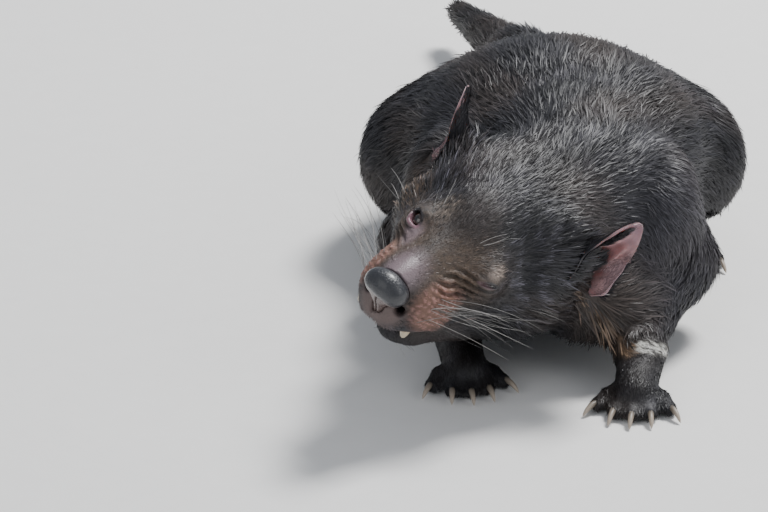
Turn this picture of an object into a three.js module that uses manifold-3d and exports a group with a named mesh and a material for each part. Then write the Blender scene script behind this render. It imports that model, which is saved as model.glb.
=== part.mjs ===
// A grown Tasmanian devil at life size, in millimetres: it crouches on all fours with its back arched
// and its head low, turned to its right and tilted, with the mouth a little open.
// +X is the animal's left, +Y runs from its head to its tail, and +Z is up from the floor it stands on.
import * as THREE from 'three';
import { mergeVertices } from 'three/addons/utils/BufferGeometryUtils.js';
import Module from 'manifold-3d';

const wasm = await Module();
wasm.setup();

// Driving dimensions, all over the coat.
const BACK_HEIGHT = 168;       // floor to the top of the arched back
const TRUNK_HALF_WIDTH = 106;  // at the belly, without the thighs
const TAIL_LENGTH = 245;
const HEAD = { yaw: 37.7, pitch: 0.8, roll: 23.2 }; // degrees: to its right, up, left side down
const EAR = { height: 52, width: 40, thickness: 2.6, aside: 59, forward: -4 };
const EYE_RADIUS = 6.6;
const MOUTH = { corner: 68, height: -27, opening: 14 }; // corner from the ears' line, and degrees
const NOSE_TIP = 145;          // ahead of the ears' line
const GAP = 0.3;               // between touching pieces
const FINE = 0.5;              // how far a thinned skin may stray at the face and feet
const COARSE = 1.2;            // and on the body
const SLIVER = 0.08;           // and where a cut has left thin triangles

const at = (x, y, z) => new THREE.Vector3(x, y, z);
const SIDES = [['left', 1], ['right', -1]];

// The snarl draws both eyes to the left and narrows the left one. Each has its middle in the head's
// frame, the way it looks, the line of its lids toward the nose, and its opening's half width and height.
const EYES = [
  {
    name: 'left', middle: at(75, 34, 5), looks: at(0.55, 0.7, 0.45), lids: at(0.73, -0.67, 0.15),
    opening: [6.4, 1.5],
  },
  {
    name: 'right', middle: at(78, -22, 13), looks: at(0.72, -0.42, 0.55), lids: at(0.65, 0.69, -0.32),
    opening: [6, 3.8],
  },
];
const EYE_HOLLOW = { middle: at(95, -23, 26.6), radius: 14 }; // between the right eye and the bridge

// Landmarks of the body. Those of a pair are the left one's.
const WITHERS = at(0, 152, 94);
const NAPE = at(2, 108, 104);
const SHOULDER = at(64, 118, 86);
const ELBOW = at(79, 124, 50);
const WRIST = at(52, 42, 22);
const FORE_TOES = at(44, -12, 0);
const HIP = at(50, 304, 68);
const KNEE = at(92, 246, 62);
const HOCK = at(86, 304, 28);
const HIND_TOES = at(95, 214, 0);
const RIGHT_FORE_MOVE = at(15, 34, 0); // the right fore foot stands this much further out and back
const TAIL_BASE = at(0, 366, 70);
const TAIL_TIP = at(-58, 366 + TAIL_LENGTH * 0.95, 32);
const EAR_LINE = at(-31, 68, 106); // midway between the roots of the ears

// The head's own frame: its X runs ahead to the nose, its Y to the left and its Z up.
function headFrame() {
  const [yaw, pitch, roll] = [HEAD.yaw, HEAD.pitch, HEAD.roll].map(THREE.MathUtils.degToRad);
  const ahead = at(-Math.sin(yaw) * Math.cos(pitch), -Math.cos(yaw) * Math.cos(pitch), Math.sin(pitch));
  const left = at(Math.cos(yaw), -Math.sin(yaw), 0).applyAxisAngle(ahead, -roll);
  return new THREE.Matrix4().makeBasis(ahead, left, ahead.clone().cross(left)).setPosition(EAR_LINE);
}
const TO_WORLD = headFrame();
const TO_HEAD = TO_WORLD.clone().invert();

// Fields: each gives a signed distance in millimetres, negative inside.

// A limb is a rounded cone between two points, with its own radius at each end.
function limb(a, b, ra, rb) {
  const along = b.clone().sub(a);
  const lengthSquared = along.lengthSq();
  return (x, y, z) => {
    const px = x - a.x;
    const py = y - a.y;
    const pz = z - a.z;
    const share = (px * along.x + py * along.y + pz * along.z) / lengthSquared;
    const t = Math.min(1, Math.max(0, share));
    return Math.hypot(px - along.x * t, py - along.y * t, pz - along.z * t) - ra - (rb - ra) * t;
  };
}

// An egg is an ellipsoid with its three half widths, turned by angles in degrees.
function egg(centre, radii, turn = [0, 0, 0]) {
  const angles = turn.map(THREE.MathUtils.degToRad);
  const m = new THREE.Matrix4().makeRotationFromEuler(new THREE.Euler(...angles)).transpose().elements;
  return (x, y, z) => {
    const px = x - centre.x;
    const py = y - centre.y;
    const pz = z - centre.z;
    const qx = (m[0] * px + m[4] * py + m[8] * pz) / radii[0];
    const qy = (m[1] * px + m[5] * py + m[9] * pz) / radii[1];
    const qz = (m[2] * px + m[6] * py + m[10] * pz) / radii[2];
    const k0 = Math.hypot(qx, qy, qz);
    const k1 = Math.hypot(qx / radii[0], qy / radii[1], qz / radii[2]);
    return k1 < 1e-9 ? -Math.min(...radii) : (k0 * (k0 - 1)) / k1;
  };
}

// Flesh joins masses with a soft crease about as wide as the softness.
function flesh(softness, ...masses) {
  return (x, y, z) => {
    let d = masses[0](x, y, z);
    for (let i = 1; i < masses.length; i++) {
      const e = masses[i](x, y, z);
      const h = Math.max(softness - Math.abs(d - e), 0) / softness;
      d = Math.min(d, e) - (h * h * softness) / 4;
    }
    return d;
  };
}

const grown = (field, amount) => (x, y, z) => field(x, y, z) - amount;
const bothCheeks = (field) => (x, y, z) => field(x, Math.abs(y), z);

// A field of one frame, read in another.
function seenFrom(matrix, field) {
  const m = matrix.elements;
  return (x, y, z) => field(
    m[0] * x + m[4] * y + m[8] * z + m[12],
    m[1] * x + m[5] * y + m[9] * z + m[13],
    m[2] * x + m[6] * y + m[10] * z + m[14],
  );
}

// Grid planes through a list of places, no further apart than the step that follows each place.
function planes(...list) {
  const out = [];
  for (let i = 0; i + 2 < list.length; i += 2) {
    const [from, step, to] = list.slice(i, i + 3);
    const count = Math.ceil((to - from) / step);
    for (let k = 0; k < count; k++) out.push(from + ((to - from) * k) / count);
  }
  return [...out, list[list.length - 1]];
}

// Moves a point on to a field's surface, by no more than the reach in each of two steps.
function settle(field, p, reach) {
  const e = 0.5;
  for (let step = 0; step < 2; step++) {
    const slope = at(
      field(p.x + e, p.y, p.z) - field(p.x - e, p.y, p.z),
      field(p.x, p.y + e, p.z) - field(p.x, p.y - e, p.z),
      field(p.x, p.y, p.z + e) - field(p.x, p.y, p.z - e),
    ).divideScalar(2 * e);
    const d = field(p.x, p.y, p.z) / Math.max(slope.lengthSq(), 0.2);
    p.addScaledVector(slope, THREE.MathUtils.clamp(-d, -reach, reach));
  }
  return [p.x, p.y, p.z];
}

// Wraps a closed skin of triangles round a field: one corner in each grid cell that the field's
// surface crosses. What reaches the edge of the grid is closed off there.
function wrap(field, xs, ys, zs) {
  const grid = [xs, ys, zs];
  const size = grid.map((g) => g.length);
  const stride = [1, size[0], size[0] * size[1]];
  const values = new Float32Array(size[0] * size[1] * size[2]).fill(1);
  for (let k = 1; k < size[2] - 1; k++) {
    for (let j = 1; j < size[1] - 1; j++) {
      for (let i = 1; i < size[0] - 1; i++) {
        values[i + j * stride[1] + k * stride[2]] = field(xs[i], ys[j], zs[k]);
      }
    }
  }
  const placeOf = (n) => grid.map((g, axis) => g[Math.floor(n / stride[axis]) % size[axis]]);
  const inside = (n) => values[n] < 0;
  const cellCorners = [0, 1, 2, 3, 4, 5, 6, 7].map((c) => (
    (c & 1) * stride[0] + ((c >> 1) & 1) * stride[1] + ((c >> 2) & 1) * stride[2]));
  const corners = [];
  const cornerOf = new Int32Array(values.length).fill(-1);
  for (let k = 0; k < size[2] - 1; k++) {
    for (let j = 0; j < size[1] - 1; j++) {
      for (let i = 0; i < size[0] - 1; i++) {
        const n = i + j * stride[1] + k * stride[2];
        const sum = at(0, 0, 0);
        let crossings = 0;
        for (let c = 0; c < 8; c++) {
          for (let axis = 0; axis < 3; axis++) {
            const a = n + cellCorners[c];
            const b = a + stride[axis];
            if ((c >> axis) & 1 || inside(a) === inside(b)) continue;
            const share = values[a] / (values[a] - values[b]);
            sum.add(at(...placeOf(a)).lerp(at(...placeOf(b)), share));
            crossings++;
          }
        }
        if (!crossings) continue;
        cornerOf[n] = corners.length / 3;
        const cell = Math.min(xs[i + 1] - xs[i], ys[j + 1] - ys[j], zs[k + 1] - zs[k]);
        corners.push(...settle(field, sum.divideScalar(crossings), cell / 3));
      }
    }
  }
  const far = (a, b) => Math.hypot(...[0, 1, 2].map((d) => corners[a * 3 + d] - corners[b * 3 + d]));
  const faces = [];
  for (let n = 0; n < values.length; n++) {
    for (let axis = 0; axis < 3; axis++) {
      const m = n + stride[axis];
      if (m >= values.length || inside(n) === inside(m)) continue;
      const u = stride[(axis + 1) % 3];
      const v = stride[(axis + 2) % 3];
      const quad = [n - u - v, n - v, n, n - u].map((c) => cornerOf[c]);
      if (!inside(n)) quad.reverse();
      if (far(quad[0], quad[2]) > far(quad[1], quad[3])) quad.push(quad.shift());
      faces.push(quad[0], quad[1], quad[2], quad[0], quad[2], quad[3]);
    }
  }
  return new THREE.BufferGeometry()
    .setAttribute('position', new THREE.Float32BufferAttribute(corners, 3))
    .setIndex(faces);
}

// Solids: closed meshes that can be joined and cut.

function solid(geometry) {
  const bare = geometry.clone();
  bare.deleteAttribute('normal');
  bare.deleteAttribute('uv');
  const merged = mergeVertices(bare, 1e-4);
  return new wasm.Manifold(new wasm.Mesh({
    numProp: 3,
    vertProperties: merged.attributes.position.array,
    triVerts: new Uint32Array(merged.index.array),
  }));
}

function geometryOf(body) {
  const mesh = body.getMesh();
  return new THREE.BufferGeometry()
    .setAttribute('position', new THREE.BufferAttribute(new Float32Array(mesh.vertProperties), 3))
    .setIndex(new THREE.BufferAttribute(new Uint32Array(mesh.triVerts), 1));
}

// The same mesh with each corner moved out along its normal.
function swollen(body, amount = GAP) {
  const geometry = geometryOf(body);
  geometry.computeVertexNormals();
  const p = geometry.attributes.position;
  const n = geometry.attributes.normal;
  for (let i = 0; i < p.count; i++) {
    const out = at(n.getX(i), n.getY(i), n.getZ(i)).multiplyScalar(amount);
    p.setXYZ(i, p.getX(i) + out.x, p.getY(i) + out.y, p.getZ(i) + out.z);
  }
  return solid(geometry);
}

// What lies on the side of a plane that its normal points to, half a gap off the plane.
function beyond(body, point, normal, gap = GAP / 2) {
  const n = normal.clone().normalize();
  return body.trimByPlane([n.x, n.y, n.z], n.dot(point) + gap);
}
const short = (body, point, normal) => beyond(body, point, normal.clone().negate());

const largest = (body) => body.decompose().reduce((a, b) => (b.volume() > a.volume() ? b : a));
const standing = (body) => beyond(body, at(0, 0, 0), at(0, 0, 1), 0);

// The trunk: chest, belly, rump and neck.
const NECK_RADII = [56, 50];
function trunkField() {
  const middle = BACK_HEIGHT / 2 + 3;
  return flesh(
    30,
    egg(at(0, 140, middle - 5), [80, 80, BACK_HEIGHT / 2 - 16]),
    egg(at(0, 222, middle), [TRUNK_HALF_WIDTH, 104, BACK_HEIGHT / 2 - 8]),
    egg(at(0, 302, 72), [88, 82, 60], [-14, 0, 0]),
    limb(WITHERS, NAPE, ...NECK_RADII),
    egg(at(22, 84, 48), [47, 50, 34]),
  );
}

// A fore leg, drawn as a left one: its foot is moved, its elbow by less and its shoulder by least.
function foreLegAt(move) {
  const [shoulder, elbow, wrist, tips] = [[SHOULDER, 0.6], [ELBOW, 0.8], [WRIST, 1], [FORE_TOES, 1]]
    .map(([p, share]) => p.clone().addScaledVector(move, share));
  const limbField = flesh(
    22,
    egg(shoulder, [34, 48, 54], [12, 0, 0]),
    limb(shoulder.clone().setZ(70), elbow, 30, 26),
    limb(elbow, wrist, 26, 15),
  );
  const toes = toesOf(tips, wrist, FORE_TOE, 5);
  const field = flesh(8, limbField, pawField(wrist, 15, toes, FORE_TOE));
  return { shoulder, wrist, tips, toes, field };
}
const hindLimb = flesh(
  24,
  egg(at(80, 266, 73), [51, 60, 45], [-14, 0, 16]),
  limb(HIP, KNEE, 46, 34),
  limb(KNEE, HOCK, 31, 17),
);

// The toes of a paw: they lie side by side and fan out, and the middle ones reach furthest.
function toesOf(tips, heel, toe, count) {
  const ahead = tips.clone().sub(heel).setZ(0).normalize();
  const aside = at(-ahead.y, ahead.x, 0);
  return Array.from({ length: count }, (_, i) => {
    const across = i - (count - 1) / 2;
    const root = tips.clone().addScaledVector(ahead, -toe.length)
      .addScaledVector(aside, across * toe.radius * 1.5).setZ(toe.radius + 1.5);
    const tip = tips.clone().addScaledVector(ahead, -across * across * toe.radius * 0.5)
      .addScaledVector(aside, across * toe.radius * 2).setZ(toe.radius - 1);
    return { root, tip };
  });
}
const FORE_TOE = { length: 20, radius: 5.8 };
const HIND_TOE = { length: 22, radius: 6 };
const hindToes = toesOf(HIND_TOES, HOCK, HIND_TOE, 4);
function pawField(heel, heelRadius, toes, toe) {
  const palm = toes[0].root.clone().lerp(toes[toes.length - 1].root, 0.5).setZ(11.5);
  const sole = heel.clone().lerp(palm, 0.35).setZ(13);
  return flesh(
    8,
    limb(heel, palm, heelRadius, 12.5),
    limb(sole, palm, 13.5, 12.5),
    ...toes.map(({ root, tip }) => limb(root, tip, toe.radius * 1.1, toe.radius)),
  );
}
const foreLegs = { left: foreLegAt(at(0, 0, 0)), right: foreLegAt(RIGHT_FORE_MOVE) };
const hindLeg = flesh(8, hindLimb, pawField(HOCK, 17, hindToes, HIND_TOE));

// A field drawn as the left leg's, on its own side.
const placed = (field, side) => (x, y, z) => field(x * side, y, z);

function tailField() {
  const root = TAIL_BASE.clone().add(at(0, -34, 2));
  const middle = TAIL_BASE.clone().lerp(TAIL_TIP, 0.45).add(at(10, 0, -5));
  return flesh(
    14,
    limb(root, TAIL_BASE, 42, 29),
    limb(TAIL_BASE, middle, 29, 25),
    limb(middle, TAIL_TIP, 25, 13),
  );
}

// The head and the jaw, in the head's own frame.
function skullField() {
  const lipLine = at(102, 21, MOUTH.height);
  return flesh(
    14,
    egg(at(0, 0, 3), [60, 54, 42]),
    egg(at(40, 0, 16), [40, 32, 26]),
    bothCheeks(egg(at(6, 30, 8), [40, 28, 30])),
    bothCheeks(egg(at(14, 38, -22), [44, 29, 36])),
    bothCheeks(limb(at(34, 42, -14), at(72, 27, -10), 21, 14)),
    bothCheeks(egg(at(62, 23, 5), [26, 17, 17])),
    ...EYES.map((eye) => egg(eye.middle, [10.5, 8, 9])),
    limb(at(58, 0, -14), at(112, 0, -13), 32, 20),
    limb(at(50, 0, 12), at(NOSE_TIP - 18, 0, -1), 21, 11),
    bothCheeks(egg(at(102, 17.5, -15), [25, 12.5, 15.5])),
    egg(at(121, 0, -22), [13, 17, 11]),
    bothCheeks(limb(at(MOUTH.corner, 31, MOUTH.height), lipLine, 4.5, 4)),
    bothCheeks(limb(lipLine, at(128, 6, MOUTH.height), 4, 4)),
    limb(at(-10, 0, -30), at(48, 0, -38), 43, 29),
  );
}
const jawField = flesh(
  10,
  bothCheeks(limb(at(24, 30, -50), at(88, 8, -50), 18, 11)),
  egg(at(93, 0, -50), [19, 15, 10]),
);
const fullHead = flesh(14, skullField(), jawField);
function headField(x, y, z) {
  const { middle, radius } = EYE_HOLLOW;
  return Math.max(fullHead(x, y, z), radius - Math.hypot(x - middle.x, y - middle.y, z - middle.z));
}

// Fields of the whole animal without its ears, in the animal's frame.
const trunk = trunkField();
const withLegs = flesh(
  22,
  trunk,
  ...SIDES.map(([name, side]) => placed(foreLegs[name].field, side)),
  ...SIDES.map(([, side]) => placed(hindLeg, side)),
);
const withHead = flesh(24, trunk, seenFrom(TO_HEAD, headField));
const trunkAndTail = flesh(24, trunk, tailField());
const legless = (x, y, z) => Math.min(trunkAndTail(x, y, z), withHead(x, y, z));

// Each node is a mesh of its own. Those of the head sit in a group turned with the head.
const devil = new THREE.Group();
const head = new THREE.Group();
head.applyMatrix4(TO_WORLD);
devil.add(head);

const coat = { color: 0x1c1a1b, roughness: 0.7 };
const horn = { color: 0x9a8f80, roughness: 0.45 };
const pinkSkin = { color: 0xb9767a, roughness: 0.6 };
const leather = { color: 0x2b2628, roughness: 0.35 };
const wetFlesh = { color: 0xa8545a, roughness: 0.3 };
const wetEye = { color: 0x120c0a, roughness: 0.05 };

function add(name, cut, finish, group = devil) {
  const body = largest(cut).simplify(SLIVER);
  const mesh = new THREE.Mesh(geometryOf(body), new THREE.MeshStandardMaterial(finish));
  mesh.name = name;
  group.add(mesh);
  return body;
}

// The hood is the space that the head's own flesh takes, from behind the ears forward.
const hood = beyond(
  solid(wrap(
    grown(headField, 7),
    planes(-90, 10, 160),
    planes(-90, 10, 90),
    planes(-95, 10, 75),
  )).simplify(COARSE),
  at(-34, 0, 0),
  at(1, 0, -0.12),
  0,
);
const hoodInWorld = hood.transform(TO_WORLD.elements);

// Torso, neck and tail are cut from one skin.
const skin = solid(wrap(
  legless,
  planes(-140, 18, 140),
  planes(-70, 18, 640),
  planes(-20, 17, 190),
)).simplify(COARSE).subtract(swollen(hoodInWorld));
let torso = standing(skin);

// A claw or tooth: a cone from its root to its tip, bowed in the middle by the bend.
function spike(root, tip, radius, bend) {
  const length = root.distanceTo(tip);
  const cone = new THREE.ConeGeometry(radius, length, 6, 2).translate(0, length / 2, 0);
  const p = cone.attributes.position;
  for (let i = 0; i < p.count; i++) {
    const share = p.getY(i) / length;
    p.setZ(i, p.getZ(i) + bend * 4 * share * (1 - share));
  }
  const turn = new THREE.Quaternion().setFromUnitVectors(at(0, 1, 0), tip.clone().sub(root).normalize());
  return solid(cone.applyQuaternion(turn).translate(root.x, root.y, root.z));
}

// A leg is what its own flesh, a little swollen, takes out of the body. Its paw is wrapped again
// on closer planes, and a plane across the wrist or under the hock parts the two.
function addLeg(leg, side) {
  const onSide = (p) => p.clone().setX(p.x * side);
  const field = placed(leg.field, side);
  const reach = (p, x, y) => onSide(p).add(at(x, y, 0));
  const room = (step) => [
    planes(...[18 * side, 146 * side].sort((a, b) => a - b).toSpliced(1, 0, step)),
    planes(reach(leg.tips, 0, -30).y, step, reach(leg.top, 0, 90).y),
    planes(-18, step, 160),
  ];
  const space = solid(wrap(grown(field, 4), ...room(19))).simplify(COARSE);
  const flank = solid(wrap(withLegs, ...room(14))).simplify(COARSE);
  const cut = [onSide(leg.cut), at(0, leg.slope[0], leg.slope[1])];
  const limbOnly = standing(flank.intersect(space)).subtract(swollen(hoodInWorld));
  const upper = add(leg.names[0], short(limbOnly, ...cut), coat);
  torso = torso.subtract(swollen(space));
  const paw = solid(wrap(
    field,
    planes(reach(leg.tips, -46, 0).x, 6.2, reach(leg.tips, 46, 0).x),
    planes(reach(leg.tips, 0, -20).y, 6.2, reach(leg.cut, 0, 36).y),
    planes(-7, 6, leg.cut.z + 28),
  ));
  const pawSolid = add(leg.names[1], standing(beyond(paw, ...cut)).simplify(FINE), coat);
  leg.toes.forEach(({ root, tip }, i) => {
    const ahead = tip.clone().sub(root).setZ(0).normalize();
    const from = onSide(tip.clone().addScaledVector(ahead, 1).setZ(tip.z + 1.5));
    const to = onSide(tip.clone().addScaledVector(ahead, 15).setZ(1.2));
    const claw = spike(from, to, 2.5, 2).subtract(swollen(pawSolid));
    add(`claw_${leg.names[1]}_${i + 1}`, claw, horn);
  });
  return upper;
}
const shoulders = {};
for (const [name, side] of SIDES) {
  shoulders[name] = addLeg({
    names: [`foreleg_${name}`, `forepaw_${name}`],
    field: foreLegs[name].field,
    toes: foreLegs[name].toes,
    tips: foreLegs[name].tips,
    top: foreLegs[name].shoulder,
    cut: foreLegs[name].wrist,
    slope: [-0.93, -0.36],
  }, side);
  addLeg({
    names: [`hindleg_${name}`, `hindfoot_${name}`],
    field: hindLeg,
    toes: hindToes,
    tips: HIND_TOES,
    top: HIP,
    cut: at(HOCK.x, HOCK.y - 14, 26),
    slope: [0.2, -0.98],
  }, side);
}

const tailSkin = solid(wrap(
  legless,
  planes(-100, 11, 50),
  planes(TAIL_BASE.y - 20, 16, TAIL_TIP.y + 24),
  planes(0, 11, 120),
)).simplify(COARSE / 2);
const tailCut = [TAIL_BASE, at(-0.05, 1, -0.12)];
add('tail', beyond(tailSkin, ...tailCut), coat);
torso = short(torso, ...tailCut);

const neckCut = [at(0, 112, 120), at(0, -0.84, 0.54)];
add('neck', beyond(torso, ...neckCut), coat);
add('torso', short(torso, ...neckCut), coat);

// The head's skin, on closer planes at the face.
const headSkin = solid(wrap(
  seenFrom(TO_WORLD, withHead),
  planes(-60, 13, 50, 7, 150),
  planes(-90, 13, -38, 7, 38, 13, 90),
  planes(-90, 13, -60, 7, 26, 13, 70),
)).simplify(FINE).intersect(hood);

// A side view of the head or jaw, drawn in its X and Z and spread across the whole face.
function acrossFace(outline) {
  const shape = new THREE.Shape(outline.map(([x, z]) => new THREE.Vector2(x, z)));
  const halfWidth = 90;
  return solid(new THREE.ExtrudeGeometry(shape, { depth: 2 * halfWidth, bevelEnabled: false })
    .rotateX(Math.PI / 2).translate(0, halfWidth, 0));
}

// The mouth's line runs back from the lips to the corner, and from there the jaw is parted from the
// cheek by a thin cut that comes out behind the angle of the jaw.
const jawDrop = Math.tan(THREE.MathUtils.degToRad(MOUTH.opening));
const jawTop = (x) => MOUTH.height - (x - MOUTH.corner) * jawDrop;
const behindCorner = [[-4, -100], [0, -74], [22, -50], [48, -37]];
const mouthSpace = acrossFace([
  ...behindCorner,
  [MOUTH.corner, MOUTH.height],
  [100, MOUTH.height - 1.5],
  [160, MOUTH.height - 1],
  [160, -100],
]);
const jawSpace = acrossFace([
  ...behindCorner.map(([x, z]) => [x + GAP, z - GAP]),
  [MOUTH.corner + GAP, MOUTH.height - GAP],
  [100, jawTop(100)],
  [160, jawTop(160)],
  [160, -100],
]);
const palate = solid(wrap(
  egg(at(97, 0, MOUTH.height - 1), [28, 16, 8]),
  planes(64, 5, 130),
  planes(-20, 5, 20),
  planes(MOUTH.height - 14, 4, MOUTH.height + 12),
));
const mouthFloor = solid(wrap(
  egg(at(88, 0, jawTop(88)), [21, 10, 5], [0, MOUTH.opening, 0]),
  planes(60, 5, 116),
  planes(-16, 5, 16),
  planes(jawTop(88) - 14, 4, jawTop(88) + 14),
));

// Teeth stand in two rows that widen from the front teeth back to the cheek.
// Each tooth of one side has its place ahead and aside, its height over the gum and its radius.
const UPPER_TEETH = [
  [124, 1.9, 3, 1.5], [123.5, 5.4, 3, 1.5], [122, 9, 3.2, 1.6], [121.5, 16.8, 5.5, 3.6],
  [111, 18, 4.2, 2.3], [102, 18.5, 4.6, 2.5], [92, 18.5, 4.6, 2.5],
];
const LOWER_TEETH = [
  [106, 1.7, 2.6, 1.4], [105, 5, 2.6, 1.4], [102, 9.5, 6, 2.6],
  [93, 12.5, 3.8, 2.2], [84, 14, 4, 2.3], [76, 15, 4, 2.3],
];
function toothRow(places, gumAt, way) {
  return [1, -1].flatMap((side) => places.map(([x, y, height, radius]) => {
    const root = at(x, y * side, gumAt(x) - way * 3.5);
    const tip = at(x + 0.2 * height, y * side * 1.04, gumAt(x) + way * height);
    return spike(root, tip, radius, 0);
  }));
}
const upperTeeth = toothRow(UPPER_TEETH, () => MOUTH.height - 0.8, -1);
const lowerTeeth = toothRow(LOWER_TEETH, jawTop, 1);

// Eyes sit in sockets behind lids.
const ball = (eye, radius) => solid(new THREE.SphereGeometry(radius, 12, 8)
  .rotateX(Math.PI / 2).translate(...eye.middle));
function lidOpening(eye) {
  const length = 30;
  const [halfWidth, halfHeight] = eye.opening;
  const outward = eye.looks.clone().normalize();
  const along = eye.lids.clone().projectOnPlane(outward).normalize();
  const basis = new THREE.Matrix4().makeBasis(along, outward, along.clone().cross(outward));
  return solid(new THREE.CylinderGeometry(1.5, 1, length, 14)
    .scale(halfWidth, 1, halfHeight).translate(0, length / 2, 0)
    .applyMatrix4(basis).translate(...eye.middle));
}

// The nose leather wraps the front of the muzzle, with a comma of a nostril on each side and a
// groove below that runs down to the lip.
const noseField = flesh(
  5,
  egg(at(NOSE_TIP - 10, 0, 0), [10, 14, 11]),
  bothCheeks(egg(at(NOSE_TIP - 11, 9, -2), [8, 6.5, 8])),
  limb(at(NOSE_TIP - 9, 0, -8), at(NOSE_TIP - 14, 0, -21), 6, 5),
);
const nosePlanes = [
  planes(NOSE_TIP - 28, 4.2, NOSE_TIP + 6),
  planes(-22, 4.2, 22),
  planes(-32, 4.2, 16),
];
const noseWhole = solid(wrap(noseField, ...nosePlanes)).simplify(FINE);
const nostrils = solid(wrap(
  flesh(
    1,
    bothCheeks(limb(at(NOSE_TIP - 6, 9.5, -9), at(NOSE_TIP - 11.5, 14.5, -10.5), 3, 3.2)),
    bothCheeks(limb(at(NOSE_TIP - 11.5, 14.5, -10.5), at(NOSE_TIP - 15, 18.5, -6.5), 3, 1.6)),
  ),
  planes(NOSE_TIP - 19, 2, NOSE_TIP),
  planes(-22, 2, 22),
  planes(-16, 2, -2),
));
const philtrum = spike(at(NOSE_TIP + 2, 0, -7), at(NOSE_TIP - 9, 0, -26), 1.2, 0);

let headSolid = headSkin.subtract(mouthSpace).subtract(palate).subtract(swollen(noseWhole));
headSolid = headSolid.subtract(nostrils);
for (const eye of EYES) {
  headSolid = headSolid.subtract(ball(eye, EYE_RADIUS + GAP)).subtract(lidOpening(eye));
  add(`eye_${eye.name}`, ball(eye, EYE_RADIUS), wetEye, head);
}
headSolid = largest(headSolid);
headSolid = add('head', headSolid.add(wasm.Manifold.union(upperTeeth)), coat, head);
add('nose', noseWhole.subtract(nostrils).subtract(philtrum), leather, head);

const jawSolid = largest(headSkin.intersect(jawSpace).subtract(mouthFloor));
const lowerRow = wasm.Manifold.union(lowerTeeth).subtract(swollen(headSolid));
const upperTeethSpace = wasm.Manifold.union(upperTeeth.map((tooth) => swollen(tooth)));
add('jaw', jawSolid.add(lowerRow).subtract(upperTeethSpace), coat, head);

// The tongue lies on the floor of the mouth.
const tongue = solid(wrap(
  egg(at(86, 0, jawTop(86) - 1), [18, 7.5, 3.4], [0, MOUTH.opening, 0]),
  planes(62, 5, 110),
  planes(-12, 5, 12),
  planes(jawTop(86) - 12, 4, jawTop(86) + 12),
));
add('tongue', tongue.subtract(swollen(headSolid)).subtract(swollen(jawSolid)), wetFlesh, head);

// An ear is a sheet of skin rolled into a cup: its rows run from the root up to the rounded tip, and
// its columns run round the roll, which is almost a tube at the root and opens out above it.
function earSheet() {
  const rows = 8;
  const columns = 8;
  const corners = [];
  const layers = [0, EAR.thickness];
  for (const inset of layers) {
    for (let i = 0; i <= rows; i++) {
      const height = i / rows;
      const rounding = Math.sqrt(1 - 0.94 * (Math.max(0, height - 0.3) / 0.7) ** 2.2);
      const halfWidth = (EAR.width / 2) * rounding * (0.68 + 0.32 * Math.min(1, height / 0.4));
      const halfTurn = THREE.MathUtils.lerp(1.9, 0.75, Math.min(1, height * 1.3));
      const radius = halfWidth / Math.sin(Math.min(halfTurn, Math.PI / 2));
      const edgeInset = inset * (i === rows ? 0.4 : 1);
      for (let k = 0; k <= columns; k++) {
        const turn = ((2 * k) / columns - 1) * (halfTurn - (inset ? 0.5 * EAR.thickness / radius : 0));
        const r = radius - edgeInset;
        const lean = 5 * Math.sin(Math.PI * height);
        corners.push(
          -Math.cos(turn) * r + radius * Math.cos(Math.min(halfTurn, 1.2)) + lean,
          Math.sin(turn) * r,
          -12 + (EAR.height + 12) * height - (inset && i === rows ? EAR.thickness * 0.6 : 0),
        );
      }
    }
  }
  const layer = (rows + 1) * (columns + 1);
  const faces = [];
  const quad = (a, b, c, d) => faces.push(a, b, c, a, c, d);
  for (let i = 0; i < rows; i++) {
    for (let k = 0; k < columns; k++) {
      const n = i * (columns + 1) + k;
      quad(n, n + columns + 1, n + columns + 2, n + 1);
      quad(layer + n, layer + n + 1, layer + n + columns + 2, layer + n + columns + 1);
    }
    for (const [k, turned] of [[0, false], [columns, true]]) {
      const n = i * (columns + 1) + k;
      const rim = [n, layer + n, layer + n + columns + 1, n + columns + 1];
      quad(...(turned ? rim.reverse() : rim));
    }
  }
  for (let k = 0; k < columns; k++) {
    quad(k, k + 1, layer + k + 1, layer + k);
    const n = rows * (columns + 1) + k;
    quad(n, layer + n, layer + n + 1, n + 1);
  }
  return new THREE.BufferGeometry()
    .setAttribute('position', new THREE.Float32BufferAttribute(corners, 3))
    .setIndex(faces);
}
for (const [name, side] of SIDES) {
  const up = at(-0.2, 0.32 * side, 0.93).normalize();
  const open = at(0.45, 0.89 * side, 0).projectOnPlane(up).normalize();
  const basis = new THREE.Matrix4().makeBasis(open, up.clone().cross(open), up)
    .setPosition(EAR.forward, EAR.aside * side, 2);
  const ear = solid(earSheet().applyMatrix4(basis)).subtract(swollen(headSolid));
  const clearOfBody = ear.transform(TO_WORLD.elements)
    .subtract(swollen(torso))
    .subtract(swollen(shoulders[name]));
  add(`ear_${name}`, clearOfBody.transform(TO_HEAD.elements), pinkSkin, head);
}

const floorPlan = new THREE.Box3().setFromObject(devil, true);
const centre = floorPlan.getCenter(at(0, 0, 0));
devil.position.set(-centre.x, -centre.y, -floorPlan.min.z);

export default devil;
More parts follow.
